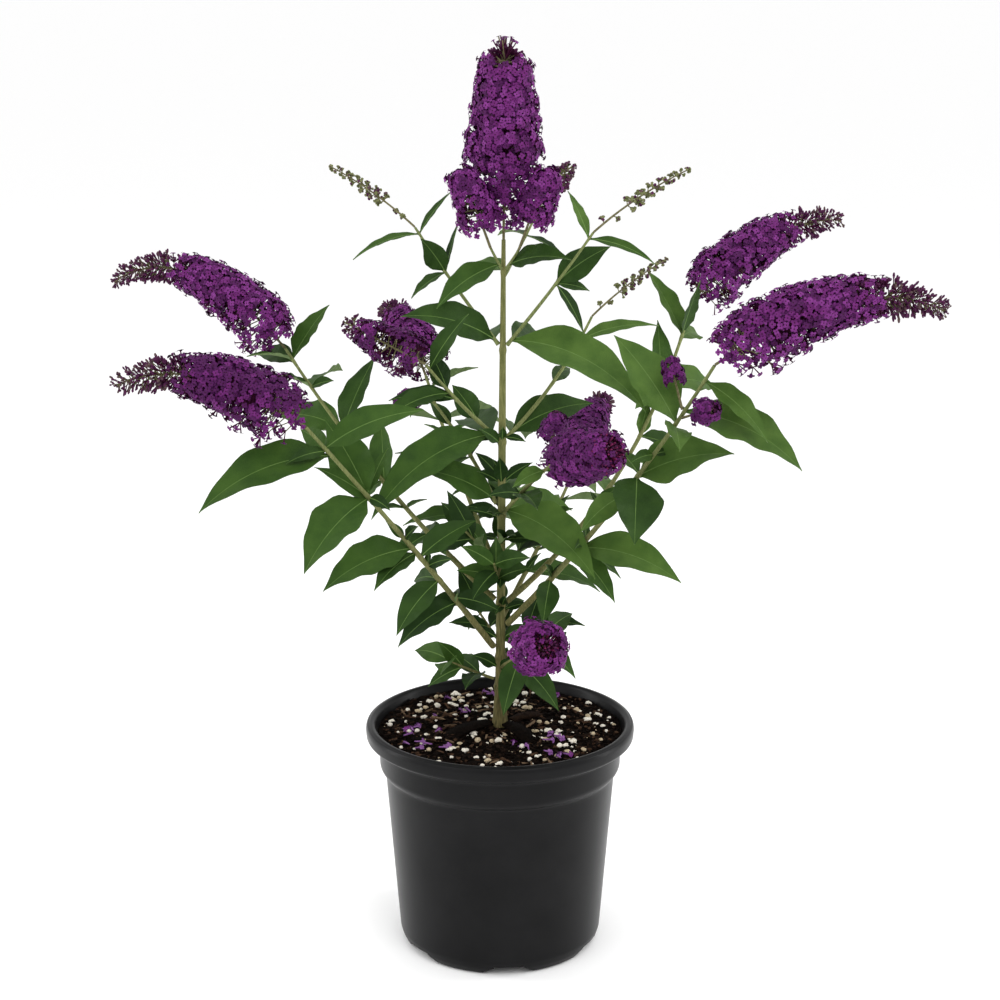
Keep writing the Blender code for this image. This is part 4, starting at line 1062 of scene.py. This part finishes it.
def stem_wobble(index, side):
    """Bark near the foot, a squared section higher up."""
    level = heights[index]
    angle = math.tau * side / STEM_SIDES
    woody = max(0.0, 1 - (level - STEM_FOOT) / 0.12)
    grain = noise.noise(Vector((math.cos(angle) * 3.2, math.sin(angle) * 3.2, level * 42)))
    ridge = noise.noise(Vector((math.cos(angle) * 7, math.sin(angle) * 7, level * 16 + 9)))
    square = 0.05 * (1 - woody) * math.cos(4 * angle)
    return 1 + woody * (0.10 * grain + 0.10 * ridge) + 0.02 * ridge + square


def bough_wobble(index, side):
    return 1 + 0.05 * math.sin(side * 2.3 + index * 0.13) + 0.03 * math.sin(side * 5.1 + index * 0.9)


def grow_shoot(row):
    """Add a shoot's twig, with bark on its bare foot, and return its course."""
    points = shoot_course(row)
    nodes = sorted({round(item[0], 2) for item in row["leaves"]})

    def girth(share):
        radius = row["root"] + (row["tip"] - row["root"]) * share
        bump = sum(math.exp(-((share - node) * row["length"] / 0.0022) ** 2) for node in nodes)
        return radius * (1 + 0.20 * min(bump, 1.2))

    start = first_share(row) - 0.0016 / row["length"]
    shares = even_shares(max(8, round(row["length"] / 0.0035)), start, 1)
    if row["bare"]:
        foot = [share for share in shares if share <= row["bare"]] + [row["bare"]]
        tube(bark, places_on(points, foot), [girth(share) for share in foot], 14, 0, wobble=bough_wobble)
        shares = [row["bare"]] + [share for share in shares if share > row["bare"]]
    tube(shoot_twigs, places_on(points, shares), [girth(share) * 0.96 for share in shares], 10, 0)
    return points


tube(bark, [stem_axis(level) for level in heights],
     [stem_radius(level) * (1 + 0.24 * stem_swell(level)) * 0.97 for level in heights], STEM_SIDES, 0,
     wobble=stem_wobble)
shoot_twigs = Batch()
courses = {name: grow_shoot(row) for name, row in SHOOTS.items()}
courses["stem"] = [stem_axis(level) for level in even_shares(24, STEM_FOOT, STEM_TOP)]
bark.build("stem_and_boughs", [BARK], "woody_stem",
           nodes=[node for node in CAD_NODES if node == "main_stem" or node.startswith("bough_")])

# Leaves of the shoots
leaves = Batch()
for index, (name, row) in enumerate(SHOOTS.items()):
    rng = random.Random(500 + index)
    start = first_share(row)
    # Left shoots draw duller greens and right shoots fresher ones, as painted light from the right
    side_light_greens = LEFT_PAINTED_SHADE_GREENS if "left" in name else RIGHT_PAINTED_LIGHT_GREENS
    for place, heading, rise, length, width in row["leaves"]:
        spot = place_on(courses[name], max(place, start + 0.0035 / row["length"]))[0]
        # Short leaves near the stem draw darker greens as painted shade
        inside = Vector((spot.x, spot.y, 0)).length < INNER_REACH and length < INNER_LENGTH
        shade = rng.choice(INNER_PAINTED_SHADE_GREENS if inside else side_light_greens)
        leaf(leaves, rng, spot, heading, rise, length, width, shade)

# Low twigs with pairs of leaves that lie flat and stand upright by turns
for index, (name, (height, heading, rise, length)) in enumerate(LOW_TWIGS.items()):
    rng = random.Random(300 + index)
    finish = random.Random(700 + index)
    root, tip = LOW_TWIG_RADII
    row = dict(height=height, heading=heading, rise=rise, length=length, bend=8, turn=0, root=root, tip=tip)
    points = shoot_course(row)
    shares = even_shares(10, first_share(row) - 0.0012 / length, 1)
    tube(shoot_twigs, places_on(points, shares), [root + (tip - root) * share for share in shares], 8, 0)
    for order, place in enumerate(LOW_TWIG_PLACES):
        upright = order % 2
        for side in (-1, 1):
            leaf_heading = heading + side * (14 if upright else LOW_LEAF_SPREAD)
            leaf_rise = rise + (side * 38 if upright else 0) + rng.uniform(-10, 6)
            leaf_length = rng.uniform(*LOW_LEAF_LENGTH)
            jitter = rng.uniform(-10, 10)
            if (name, place, side) in LOW_LEAVES_LEFT_OUT:
                continue
            # These leaves draw darker greens as painted shade under the crown
            leaf(leaves, finish, place_on(points, place)[0], leaf_heading + jitter, leaf_rise,
                 leaf_length, LOW_LEAF_WIDTH, finish.choice(LOW_PAINTED_SHADE_GREENS))

# Small leaves in the axils near the trunk and along the boughs
axil_leaves = Batch()
rng = random.Random(900)
for level in AXIL_HEIGHTS:
    for index in range(AXIL_LEAVES_ROUND):
        heading = rng.uniform(0, 360)
        spot = stem_axis(level + rng.uniform(-0.004, 0.004)) + direction(heading, 0) * stem_radius(level)
        # Axil leaves by the trunk draw darker greens as painted shade
        leaf(axil_leaves, rng, spot, heading, rng.uniform(5, 60), rng.uniform(0.018, 0.034), 0.40,
             rng.choice(STEM_AXIL_PAINTED_SHADE_GREENS))
for name, row in SHOOTS.items():
    if not row["bare"]:
        continue
    for place in (row["bare"] + 0.05, row["bare"] + 0.20) + AXIL_PLACES:
        spot = place_on(courses[name], place)[0]
        for side in (-1, 1):
            heading = row["heading"] + side * rng.uniform(40, 130)
            # Axil leaves on the boughs draw darker greens as painted shade
            leaf(axil_leaves, rng, spot, heading, rng.uniform(0, 60), rng.uniform(0.016, 0.032), 0.38,
                 rng.choice(BOUGH_AXIL_PAINTED_SHADE_GREENS))
foliage_nodes = [node for node in CAD_NODES if node.startswith("foliage_")]
axil_leaves.build("axil_leaves", LEAF_GREENS + [LEAF_UNDER, LEAF_RIB], "leaves", nodes=foliage_nodes)
leaves.build("leaves", LEAF_GREENS + [LEAF_UNDER, LEAF_RIB], "leaves", nodes=foliage_nodes)
shoot_twigs.build("leafy_shoots", [TWIG], "woody_stem", nodes=foliage_nodes)


# Panicles, spikes and side blooms
def core_end_of(name, radius, open_share):
    """The share of the blossom up to which its inside is filled."""
    if name == "panicle_top":
        return 0.82
    if radius <= CORE_LEAST_RADIUS:
        return 0.0
    return 0.62 if open_share > FULLY_OPEN else open_share * 0.92


florets = [Batch(), Batch(), Batch()]
buds = Batch()
stalks = Batch()
for index, (name, row) in enumerate(PANICLES.items()):
    shoot, heading, rise, length, bend, turn, radius, open_share, bare = row
    foot = foot_beyond(courses[shoot], direction(heading, rise))
    points = course(foot, heading, rise, length, bend, turn, 24, PANICLE_HOOK)
    # The shaded blooms draw the deep petal tone more often, as painted shade
    bloom = Bloom(florets[index % 3], buds, stalks, random.Random(100 + index),
                  DUSKY_TONES if name in PAINTED_SHADE_BLOOMS else OPEN_TONES)
    bloom.panicle(points, bare, radius * BLOOM_FULLNESS.get(name, PLAIN_FULLNESS),
                  OPEN_SHARES.get(name, open_share), core_end_of(name, radius, open_share),
                  HEART_CLIMBS.get(name, 1.0), OPEN_FRONTS.get(name), crown=name == "panicle_top")
for index, (name, (shoot, heading, rise, length, bend, radius)) in enumerate(BUD_SPIKES.items()):
    foot = foot_beyond(courses[shoot], direction(heading, rise))
    fullness, tones = SPIKE_LOOKS.get(name, PLAIN_SPIKE)
    bud_spike(buds, stalks, random.Random(150 + index), course(foot, heading, rise, length, bend, 0, 12),
              radius * fullness, tones)
for index, row in enumerate(SIDE_BLOOMS.values()):
    shoot, place, heading, rise, stalk, bloom_length, radius = row
    limb = SHOOTS[shoot]
    centre, along = place_on(courses[shoot], place)
    onward = direction(heading, rise)
    away = (onward - along * onward.dot(along)).normalized()
    limb_radius = limb["root"] + (limb["tip"] - limb["root"]) * place
    foot = centre + away * (limb_radius * 0.9 + PEDUNCLE_RADIUS * abs(onward.dot(along)))
    points = course(foot, heading, rise, stalk + bloom_length, 0, 0, 12)
    bloom = Bloom(florets[1], buds, stalks, random.Random(200 + index), DUSKY_TONES)
    bloom.panicle(points, stalk / (stalk + bloom_length), radius, 1.0, heart_climb=HEART_CLIMB)

# Cymes and buds under the top panicle
skirt = Bloom(florets[2], buds, stalks, random.Random(260), OPEN_TONES)
for level, heading, rise, reach in SKIRT_CYMES:
    skirt.cyme(stem_axis(level), direction(heading, rise), UP, reach, SKIRT_HEADS, SKIRT_FAN, SKIRT_CHANCE)
for level, heading, reach in SKIRT_BUDS:
    skirt.bud_cluster(stem_axis(level), direction(heading, 0), UP, reach, SKIRT_BUD_HEADS, 1.0)

bloom_nodes = [node for node in CAD_NODES if node.startswith(("panicle_", "side_bloom_"))]
for index, batch in enumerate(florets):
    batch.build(f"florets_{index}", PETALS + [EYE], "florets", nodes=bloom_nodes)
stalks.build("bloom_stalks", [STALK, CALYX, HEART_TUBE], "florets", nodes=bloom_nodes)
buds.build("buds", [BUD_PURPLE, CALYX, BUD_GREEN, BUD_DUSK], "flower_buds",
           nodes=[node for node in CAD_NODES if node.startswith("bud_spike")])


# Pot
CORNER_RADIUS = 0.0016
POT_SHARP_EDGE = math.radians(38)
LIP_FOOT = POT_HEIGHT - LIP_HEIGHT
POT_OUTLINE = (
    (0, FLOOR_THICKNESS), (BASE_RADIUS, FLOOR_THICKNESS),
    (WALL_FOOT_RADIUS - 1.4 * WALL_THICKNESS, WALL_FOOT),
    (WALL_TOP_RADIUS - WALL_THICKNESS, WALL_TOP), (BAND_RADIUS - WALL_THICKNESS, BAND_FOOT + 0.001),
    (BAND_RADIUS - WALL_THICKNESS, LIP_FOOT - 0.004), (LIP_INNER_RADIUS - 0.0012, POT_HEIGHT - 0.0026),
    (LIP_INNER_RADIUS + 0.0004, POT_HEIGHT - 0.0006), (LIP_INNER_RADIUS + 0.0022, POT_HEIGHT),
    (LIP_RADIUS - 0.0040, POT_HEIGHT - 0.0001), (LIP_RADIUS - 0.0030, POT_HEIGHT - 0.0008),
    (LIP_RADIUS - 0.0012, POT_HEIGHT - 0.0014), (LIP_RADIUS, POT_HEIGHT - 0.0048),
    (LIP_RADIUS - 0.0006, LIP_FOOT + 0.0020), (LIP_RADIUS - 0.0022, LIP_FOOT),
    (BAND_RADIUS + 0.0028, LIP_FOOT - 0.0018), (BAND_RADIUS, LIP_FOOT - 0.0060),
    (BAND_RADIUS - 0.0003, BAND_FOOT), (BAND_RADIUS - 0.0016, BAND_FOOT - 0.0034),
    (WALL_TOP_RADIUS + 0.0006, WALL_TOP + 0.0040), (WALL_TOP_RADIUS, WALL_TOP),
    (WALL_FOOT_RADIUS, WALL_FOOT), (WALL_FOOT_RADIUS - 0.0018, 0.0062), (BASE_RADIUS + 0.0026, 0.0010),
    (BASE_RADIUS, 0), (0, 0),
)


def rounded(outline, radius, steps=3):
    """Round the corners of an outline of radius and height."""
    made = [outline[0]]
    for before, corner, after in zip(outline, outline[1:], outline[2:]):
        here = Vector(corner)
        back = Vector(before) - here
        ahead = Vector(after) - here
        cut = min(radius, back.length * 0.45, ahead.length * 0.45)
        first = here + back.normalized() * cut
        last = here + ahead.normalized() * cut
        for share in even_shares(steps, 0, 1):
            spot = first * (1 - share) ** 2 + here * 2 * share * (1 - share) + last * share ** 2
            made.append((spot.x, spot.y))
    made.append(outline[-1])
    return made


def turned_pot():
    """The pot's outline turned round its axis."""
    shape = bmesh.new()
    rows = []
    for radius, level in rounded(POT_OUTLINE, CORNER_RADIUS):
        if radius == 0:
            rows.append([shape.verts.new((0, 0, level))] * POT_STEPS)
            continue
        row = []
        for step in range(POT_STEPS):
            angle = math.tau * step / POT_STEPS
            row.append(shape.verts.new((radius * math.cos(angle), radius * math.sin(angle), level)))
        rows.append(row)
    for upper, lower in zip(rows, rows[1:]):
        for step in range(POT_STEPS):
            after = (step + 1) % POT_STEPS
            shape.faces.new(list(dict.fromkeys((upper[step], upper[after], lower[after], lower[step]))))
    return object_of("nursery_pot", shape)


def drain_cutter():
    """Blocks with sloped ends, one for each drain notch."""
    shape = bmesh.new()
    for index in range(DRAIN_COUNT):
        turn = Matrix.Rotation(math.radians(DRAIN_HEADING + index * 360 / DRAIN_COUNT), 3, "Z")
        profile = [(-DRAIN_WIDTH / 2, -DRAIN_HEIGHT)]
        for share in even_shares(8, 0, 1):
            wide = DRAIN_WIDTH / 2 - (DRAIN_WIDTH - DRAIN_TOP_WIDTH) / 2 * (3 * share ** 2 - 2 * share ** 3)
            profile.append((-wide, DRAIN_HEIGHT * share))
        profile += [(-wide, level) for wide, level in reversed(profile)]
        near, far = [[shape.verts.new(turn @ Vector((reach, wide, level))) for wide, level in profile]
                     for reach in DRAIN_REACH]
        shape.faces.new(near)
        shape.faces.new(list(reversed(far)))
        for step in range(len(profile)):
            after = (step + 1) % len(profile)
            shape.faces.new((near[step], far[step], far[after], near[after]))
    return object_of("drain_cutter", shape)


pot = turned_pot()
cutter = drain_cutter()
notch = pot.modifiers.new("notch", "BOOLEAN")
notch.operation = "DIFFERENCE"
notch.object = cutter
notch.solver = "EXACT"
bpy.context.view_layer.update()
cut = bpy.data.meshes.new_from_object(pot.evaluated_get(bpy.context.evaluated_depsgraph_get()))
pot.modifiers.clear()
pot.data = cut
bpy.data.objects.remove(cutter)
pot.data.materials.clear()
pot.data.materials.append(pot_material())
pot.data.shade_smooth()
pot.data.set_sharp_from_angle(angle=POT_SHARP_EDGE)
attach(pot, "root")
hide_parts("pot")


# Potting mix
SOIL_RADIUS = SOIL_EDGE_RADIUS + 0.0004
SOIL_NECK_RADIUS = BAND_RADIUS - WALL_THICKNESS - 0.0004
SOIL_RINGS = 60
SOIL_SPOKES = 180
STEM_CLEARANCE = 0.010
CHIP_COUNT = 5200
PLATE_COUNT = 260
SPLINTER_COUNT = 70
SPLINTER_BREADTH = 0.0020
PERLITE_COUNT = 190
PERLITE_DUST_COUNT = 90
PEAT, BARK_BROWN, BARK_TAN, BARK_PALE = range(4)
WHITE, CREAM = range(2)
PEBBLE_SIZES = ((0.0020, 0.0032), (0.0034, 0.0050), (0.0046, 0.0066))


def soil_height(x, y):
    share = min(math.hypot(x, y) / SOIL_RADIUS, 1.0)
    fall = max(0.0, (share - 0.16) / 0.84) ** 1.3
    level = SOIL_CROWN_HEIGHT + (SOIL_EDGE_HEIGHT - SOIL_CROWN_HEIGHT) * fall
    lumps = 0.0024 * noise.noise(Vector((x * 45, y * 45, 1.3)))
    return level - 0.0006 + (lumps + 0.0014 * noise.noise(Vector((x * 160, y * 160, 5.1))))


def soil_top():
    """The uneven top of the mix, with a neck that goes down inside the pot's wall."""
    verts = [Vector((0, 0, soil_height(0, 0)))]
    for ring in range(1, SOIL_RINGS + 1):
        reach = SOIL_RADIUS * ring / SOIL_RINGS
        for spoke in range(SOIL_SPOKES):
            angle = math.tau * spoke / SOIL_SPOKES
            x, y = reach * math.cos(angle), reach * math.sin(angle)
            verts.append(Vector((x, y, soil_height(x, y))))
    faces = [(0, 1 + spoke, 1 + (spoke + 1) % SOIL_SPOKES) for spoke in range(SOIL_SPOKES)]
    outer = 1 + (SOIL_RINGS - 1) * SOIL_SPOKES
    low = len(verts)
    for near in range(1, low, SOIL_SPOKES):
        far = near + SOIL_SPOKES
        for spoke in range(SOIL_SPOKES):
            after = (spoke + 1) % SOIL_SPOKES
            faces.append((near + spoke, far + spoke, far + after, near + after))
    for spoke in range(SOIL_SPOKES):
        spot = verts[outer + spoke] * (SOIL_NECK_RADIUS / SOIL_RADIUS)
        verts.append(Vector((spot.x, spot.y, BAND_FOOT + 0.018)))
    faces.append(tuple(reversed(range(low, low + SOIL_SPOKES))))
    return verts, faces


soil = Batch()
soil.add(*soil_top(), 0)
SOIL = mottled("dark peat", (7, 5, 4), (22, 15, 11), 260, 0.95, 0.8, 1200, DULL)
soil.build("potting_mix_top", [SOIL], "potting_mix", nodes=["potting_mix"])


def chunk(batch, rng, spot, size, slot, flat=1.0, long=1.0):
    """An angular grain with uneven corners."""
    turn = Matrix.Rotation(rng.uniform(0, math.tau), 3, "Z")
    turn = turn @ Matrix.Rotation(rng.uniform(-0.5, 0.5), 3, "X")
    corners = []
    for a in (-1, 1):
        for b in (-1, 1):
            for c in (-1, 1):
                shake = random_vector(rng, 0.55, 1.1)
                corner = Vector((a * shake.x * long, b * shake.y, c * shake.z * flat)) * size * 0.5
                corners.append(spot + turn @ corner)
    faces = [(0, 1, 3, 2), (4, 6, 7, 5), (0, 4, 5, 1), (2, 3, 7, 6), (0, 2, 6, 4), (1, 5, 7, 3)]
    batch.add(corners, faces, slot)


def unit_ball():
    ball = bmesh.new()
    bmesh.ops.create_icosphere(ball, subdivisions=2, radius=1)
    corners = [vert.co.copy() for vert in ball.verts]
    faces = [tuple(vert.index for vert in face.verts) for face in ball.faces]
    ball.free()
    return corners, faces


BALL_CORNERS, BALL_FACES = unit_ball()


def pebble(batch, rng, spot, size, slot):
    """A rounded, dented grain."""
    seed = rng.uniform(0, 100)
    turn = Matrix.Rotation(rng.uniform(0, math.tau), 3, "Z")
    stretch = Vector((rng.uniform(0.8, 1.15), rng.uniform(0.75, 1.0), rng.uniform(0.6, 0.85)))
    verts = []
    for corner in BALL_CORNERS:
        bump = 1 + 0.35 * noise.noise(corner * 1.7 + Vector((seed, seed, seed)))
        verts.append(spot + turn @ (corner * stretch) * bump * size * 0.5)
    batch.add(verts, BALL_FACES, slot)


def soil_spot(rng, clear=0.0, limit=0.975):
    """A place on the mix, clear of the stem and within a share of its radius."""
    while True:
        x, y = rng.uniform(-1, 1), rng.uniform(-1, 1)
        if x * x + y * y < 1 and math.hypot(x, y) * SOIL_RADIUS > STEM_CLEARANCE + clear:
            x *= SOIL_RADIUS * limit
            y *= SOIL_RADIUS * limit
            return Vector((x, y, soil_height(x, y)))


rng = random.Random(41)
chips = Batch()
for index in range(CHIP_COUNT):
    spot = soil_spot(rng)
    size = rng.uniform(0.0012, 0.0034)
    tone = rng.choice((PEAT, PEAT, PEAT, BARK_BROWN, PEAT, BARK_BROWN, PEAT, PEAT, PEAT, BARK_TAN))
    chunk(chips, rng, spot + UP * (size * 0.15), size, tone, 0.6, rng.uniform(1.0, 1.8))
for index in range(PLATE_COUNT):
    spot = soil_spot(rng, 0.002, 0.93)
    size = rng.uniform(0.0026, 0.0050)
    tone = rng.choice((PEAT, PEAT, BARK_BROWN, BARK_TAN))
    chunk(chips, rng, spot + UP * (size * 0.12), size, tone, 0.35, rng.uniform(1.2, 2.6))
for index in range(SPLINTER_COUNT):
    spot = soil_spot(rng, 0.002, 0.90)
    tone = rng.choice((BARK_TAN, BARK_PALE))
    chunk(chips, rng, spot + UP * (SPLINTER_BREADTH / 2), SPLINTER_BREADTH, tone, 0.8, rng.uniform(4.0, 9.0))

grains = Batch()
for index in range(PERLITE_COUNT):
    spot = soil_spot(rng, 0.003, 0.945)
    size = rng.choice([rng.uniform(low, high) for low, high in PEBBLE_SIZES])
    tone = WHITE if rng.random() < 0.75 else CREAM
    for lump in range(rng.choice((1, 1, 2, 3))):
        shift = Vector((rng.uniform(-1, 1), rng.uniform(-1, 1), 0)) * size * (0.45 if lump else 0)
        pebble(grains, rng, spot + shift + UP * (size * 0.22), size * (0.8 if lump else 1.0), tone)
for index in range(PERLITE_DUST_COUNT):
    spot = soil_spot(rng, 0.003, 0.96)
    size = rng.uniform(0.0010, 0.0018)
    pebble(grains, rng, spot + UP * (size * 0.4), size, CREAM)
CHIP_TONES = [
    mottled("peat dark", (6, 4, 3), (17, 11, 8), 300, 0.95, 0.6, 1500, DULL),
    mottled("bark brown", (18, 11, 8), (37, 25, 18), 300, 0.9, 0.6, 1500, DULL),
    mottled("bark tan", (48, 34, 25), (78, 58, 44), 300, 0.9, 0.6, 1500, DULL),
    mottled("bark pale", (84, 66, 50), (118, 98, 78), 300, 0.9, 0.6, 1500),
]
PERLITE = [
    mottled("perlite white", (208, 200, 184), (236, 230, 219), 700, 0.9, 0.5, 2500, LIVELY),
    mottled("perlite cream", (160, 142, 112), (194, 178, 150), 700, 0.9, 0.5, 2500, LIVELY),
]
chips.build("bark_chips", CHIP_TONES, "potting_mix", smooth=False)
grains.build("perlite_grains", PERLITE, "potting_mix")


def flap(batch, rng, start, end, width, slot):
    """A bent plate of bark lying from one spot to another."""
    along = end - start
    side = along.cross(Vector((0, 0, 1))).normalized()
    steps, lanes = 10, 4
    top = []
    low = []
    for step in range(steps + 1):
        share = step / steps
        for lane in range(lanes + 1):
            across = lane / lanes - 0.5
            breadth = width * (0.55 + 0.45 * math.sin(math.pi * (0.15 + 0.7 * share)))
            breadth *= 1 + rng.uniform(-0.06, 0.06)
            arch = 0.0035 * math.sin(math.pi * share) - 0.006 * across * across
            spot = start + along * share + side * across * breadth
            spot += Vector((0, 0, arch + rng.uniform(-0.0003, 0.0003)))
            top.append(spot)
            low.append(spot - Vector((0, 0, 0.0016)))
    count = len(top)
    faces = []
    for step in range(steps):
        for lane in range(lanes):
            near = step * (lanes + 1) + lane
            far = near + lanes + 1
            faces.append((near, near + 1, far + 1, far))
            faces.append((count + near, count + far, count + far + 1, count + near + 1))
    rim = list(range(lanes + 1)) + [step * (lanes + 1) + lanes for step in range(1, steps + 1)]
    rim += [steps * (lanes + 1) + lane for lane in range(lanes - 1, -1, -1)]
    rim += [step * (lanes + 1) for step in range(steps - 1, 0, -1)]
    for near, after in zip(rim, rim[1:] + rim[:1]):
        faces.append((after, near, count + near, count + after))
    batch.add(top + low, faces, slot)


flaps = Batch()
flap(flaps, rng, Vector((-0.052, -0.030, 0.1985)), Vector((-0.010, 0.000, 0.2058)), 0.018, 0)
flap(flaps, rng, Vector((0.032, -0.044, 0.1980)), Vector((0.007, -0.003, 0.2055)), 0.016, 0)
flap(flaps, rng, Vector((0.040, 0.036, 0.1985)), Vector((0.010, 0.010, 0.2035)), 0.012, 1)
flaps.build("bark_flaps", CHIP_TONES[:2], "potting_mix")

# Florets that fell on the mix, most of them to the left and the right of the stem
# Centre, spread and number of each patch
FALLEN_PATCHES = (
    (-0.068, -0.010, 0.020, 0.036, 9), (-0.058, -0.046, 0.018, 0.012, 5), (-0.032, 0.034, 0.006, 0.006, 3),
    (0.024, -0.052, 0.012, 0.010, 3), (0.050, -0.036, 0.012, 0.014, 5), (0.052, -0.068, 0.012, 0.010, 4),
    (-0.040, 0.078, 0.034, 0.012, 3), (0.050, 0.074, 0.024, 0.012, 2),
)
PALE, PURPLE = range(2)
fallen = Batch()
fallen_tubes = Batch()
for centre_x, centre_y, spread_x, spread_y, count in FALLEN_PATCHES:
    for index in range(count):
        x = centre_x + rng.uniform(-spread_x, spread_x)
        y = centre_y + rng.uniform(-spread_y, spread_y)
        spot = Vector((x, y, soil_height(x, y) + 0.0034))
        back = Vector((rng.uniform(-1, 1), rng.uniform(-1, 1), rng.uniform(-0.25, 0.1))).normalized()
        facing = (Vector((rng.uniform(-0.3, 0.3), rng.uniform(-0.5, 0.2), 0.6)) - back).normalized()
        size = rng.uniform(*FALLEN_FLORET_SIZES)
        floret(fallen, rng, spot, facing, size, rng.choice((PALE, PALE, PALE, PURPLE)))
        spindle(fallen_tubes, spot + back * rng.uniform(0.006, 0.010), spot, 0.0006, 0.0011, 0, 6)
fallen.build("fallen_florets", [FADED, PETALS[BRIGHT], PETALS[VIOLET], EYE], "florets", smooth=False)
fallen_tubes.build("fallen_tubes", [FADED], "florets")


# Camera, lights and floor
CAMERA_LENS = 75.6
CAMERA_SENSOR = 36
CAMERA_PLACE = (0, -1.7725, 0.8639)
CAMERA_DOWN = 14.394
# Place, target, width, height and power of each light
LIGHTS = {
    "key": ((0.9, -1.9, 2.3), (0, 0, 0.45), 1.6, 1.6, 24),
    "fill": ((-1.6, -1.4, 1.2), (0, 0, 0.4), 1.4, 1.4, 7),
    "left_strip": ((-1.5, 0.15, 0.7), (0, 0, 0.3), 0.35, 1.6, 9),
    "right_strip": ((1.5, 0.15, 0.7), (0, 0, 0.3), 0.35, 1.6, 9),
    "top": ((0.0, 0.4, 2.6), (0, 0, 0.4), 1.8, 1.8, 12),
}
FLOOR_CORNERS = ((-30, -12, 0), (30, -12, 0), (30, 60, 0), (-30, 60, 0))
FLOOR_HEIGHT = -0.0002


def area_light(name, place, target, width, height, power):
    data = bpy.data.lights.new(name, "AREA")
    data.shape = "RECTANGLE"
    data.size = width
    data.size_y = height
    data.energy = power
    made = bpy.data.objects.new(name, data)
    made.location = place
    made.rotation_euler = (Vector(target) - Vector(place)).to_track_quat("-Z", "Y").to_euler()
    bpy.context.scene.collection.objects.link(made)


camera_data = bpy.data.cameras.new("camera")
camera_data.lens = CAMERA_LENS
camera_data.sensor_width = CAMERA_SENSOR
camera = bpy.data.objects.new("camera", camera_data)
camera.location = CAMERA_PLACE
camera.rotation_euler = (math.radians(90 - CAMERA_DOWN), 0, 0)
bpy.context.scene.collection.objects.link(camera)
bpy.context.scene.camera = camera

for name, light in LIGHTS.items():
    area_light(name, *light)

world = bpy.data.worlds.new("studio")
world.use_nodes = True
backdrop = world.node_tree.nodes["Background"]
backdrop.inputs["Color"].default_value = (1.0, 1.0, 1.0, 1)
backdrop.inputs["Strength"].default_value = 1.0
bpy.context.scene.world = world

floor_mesh = bpy.data.meshes.new("floor")
floor_mesh.from_pydata(FLOOR_CORNERS, [], [(0, 1, 2, 3)])
floor = bpy.data.objects.new("floor", floor_mesh)
floor.location = (0, 0, FLOOR_HEIGHT)
bpy.context.scene.collection.objects.link(floor)
floor_material, floor_tree, floor_shader = shader_of("pale floor")
floor_shader.inputs["Base Color"].default_value = (0.99, 0.99, 0.99, 1)
floor_shader.inputs["Roughness"].default_value = 0.9
floor_shader.inputs["Specular IOR Level"].default_value = 0.1
floor_mesh.materials.append(floor_material)

bpy.context.scene.view_settings.view_transform = "Standard"
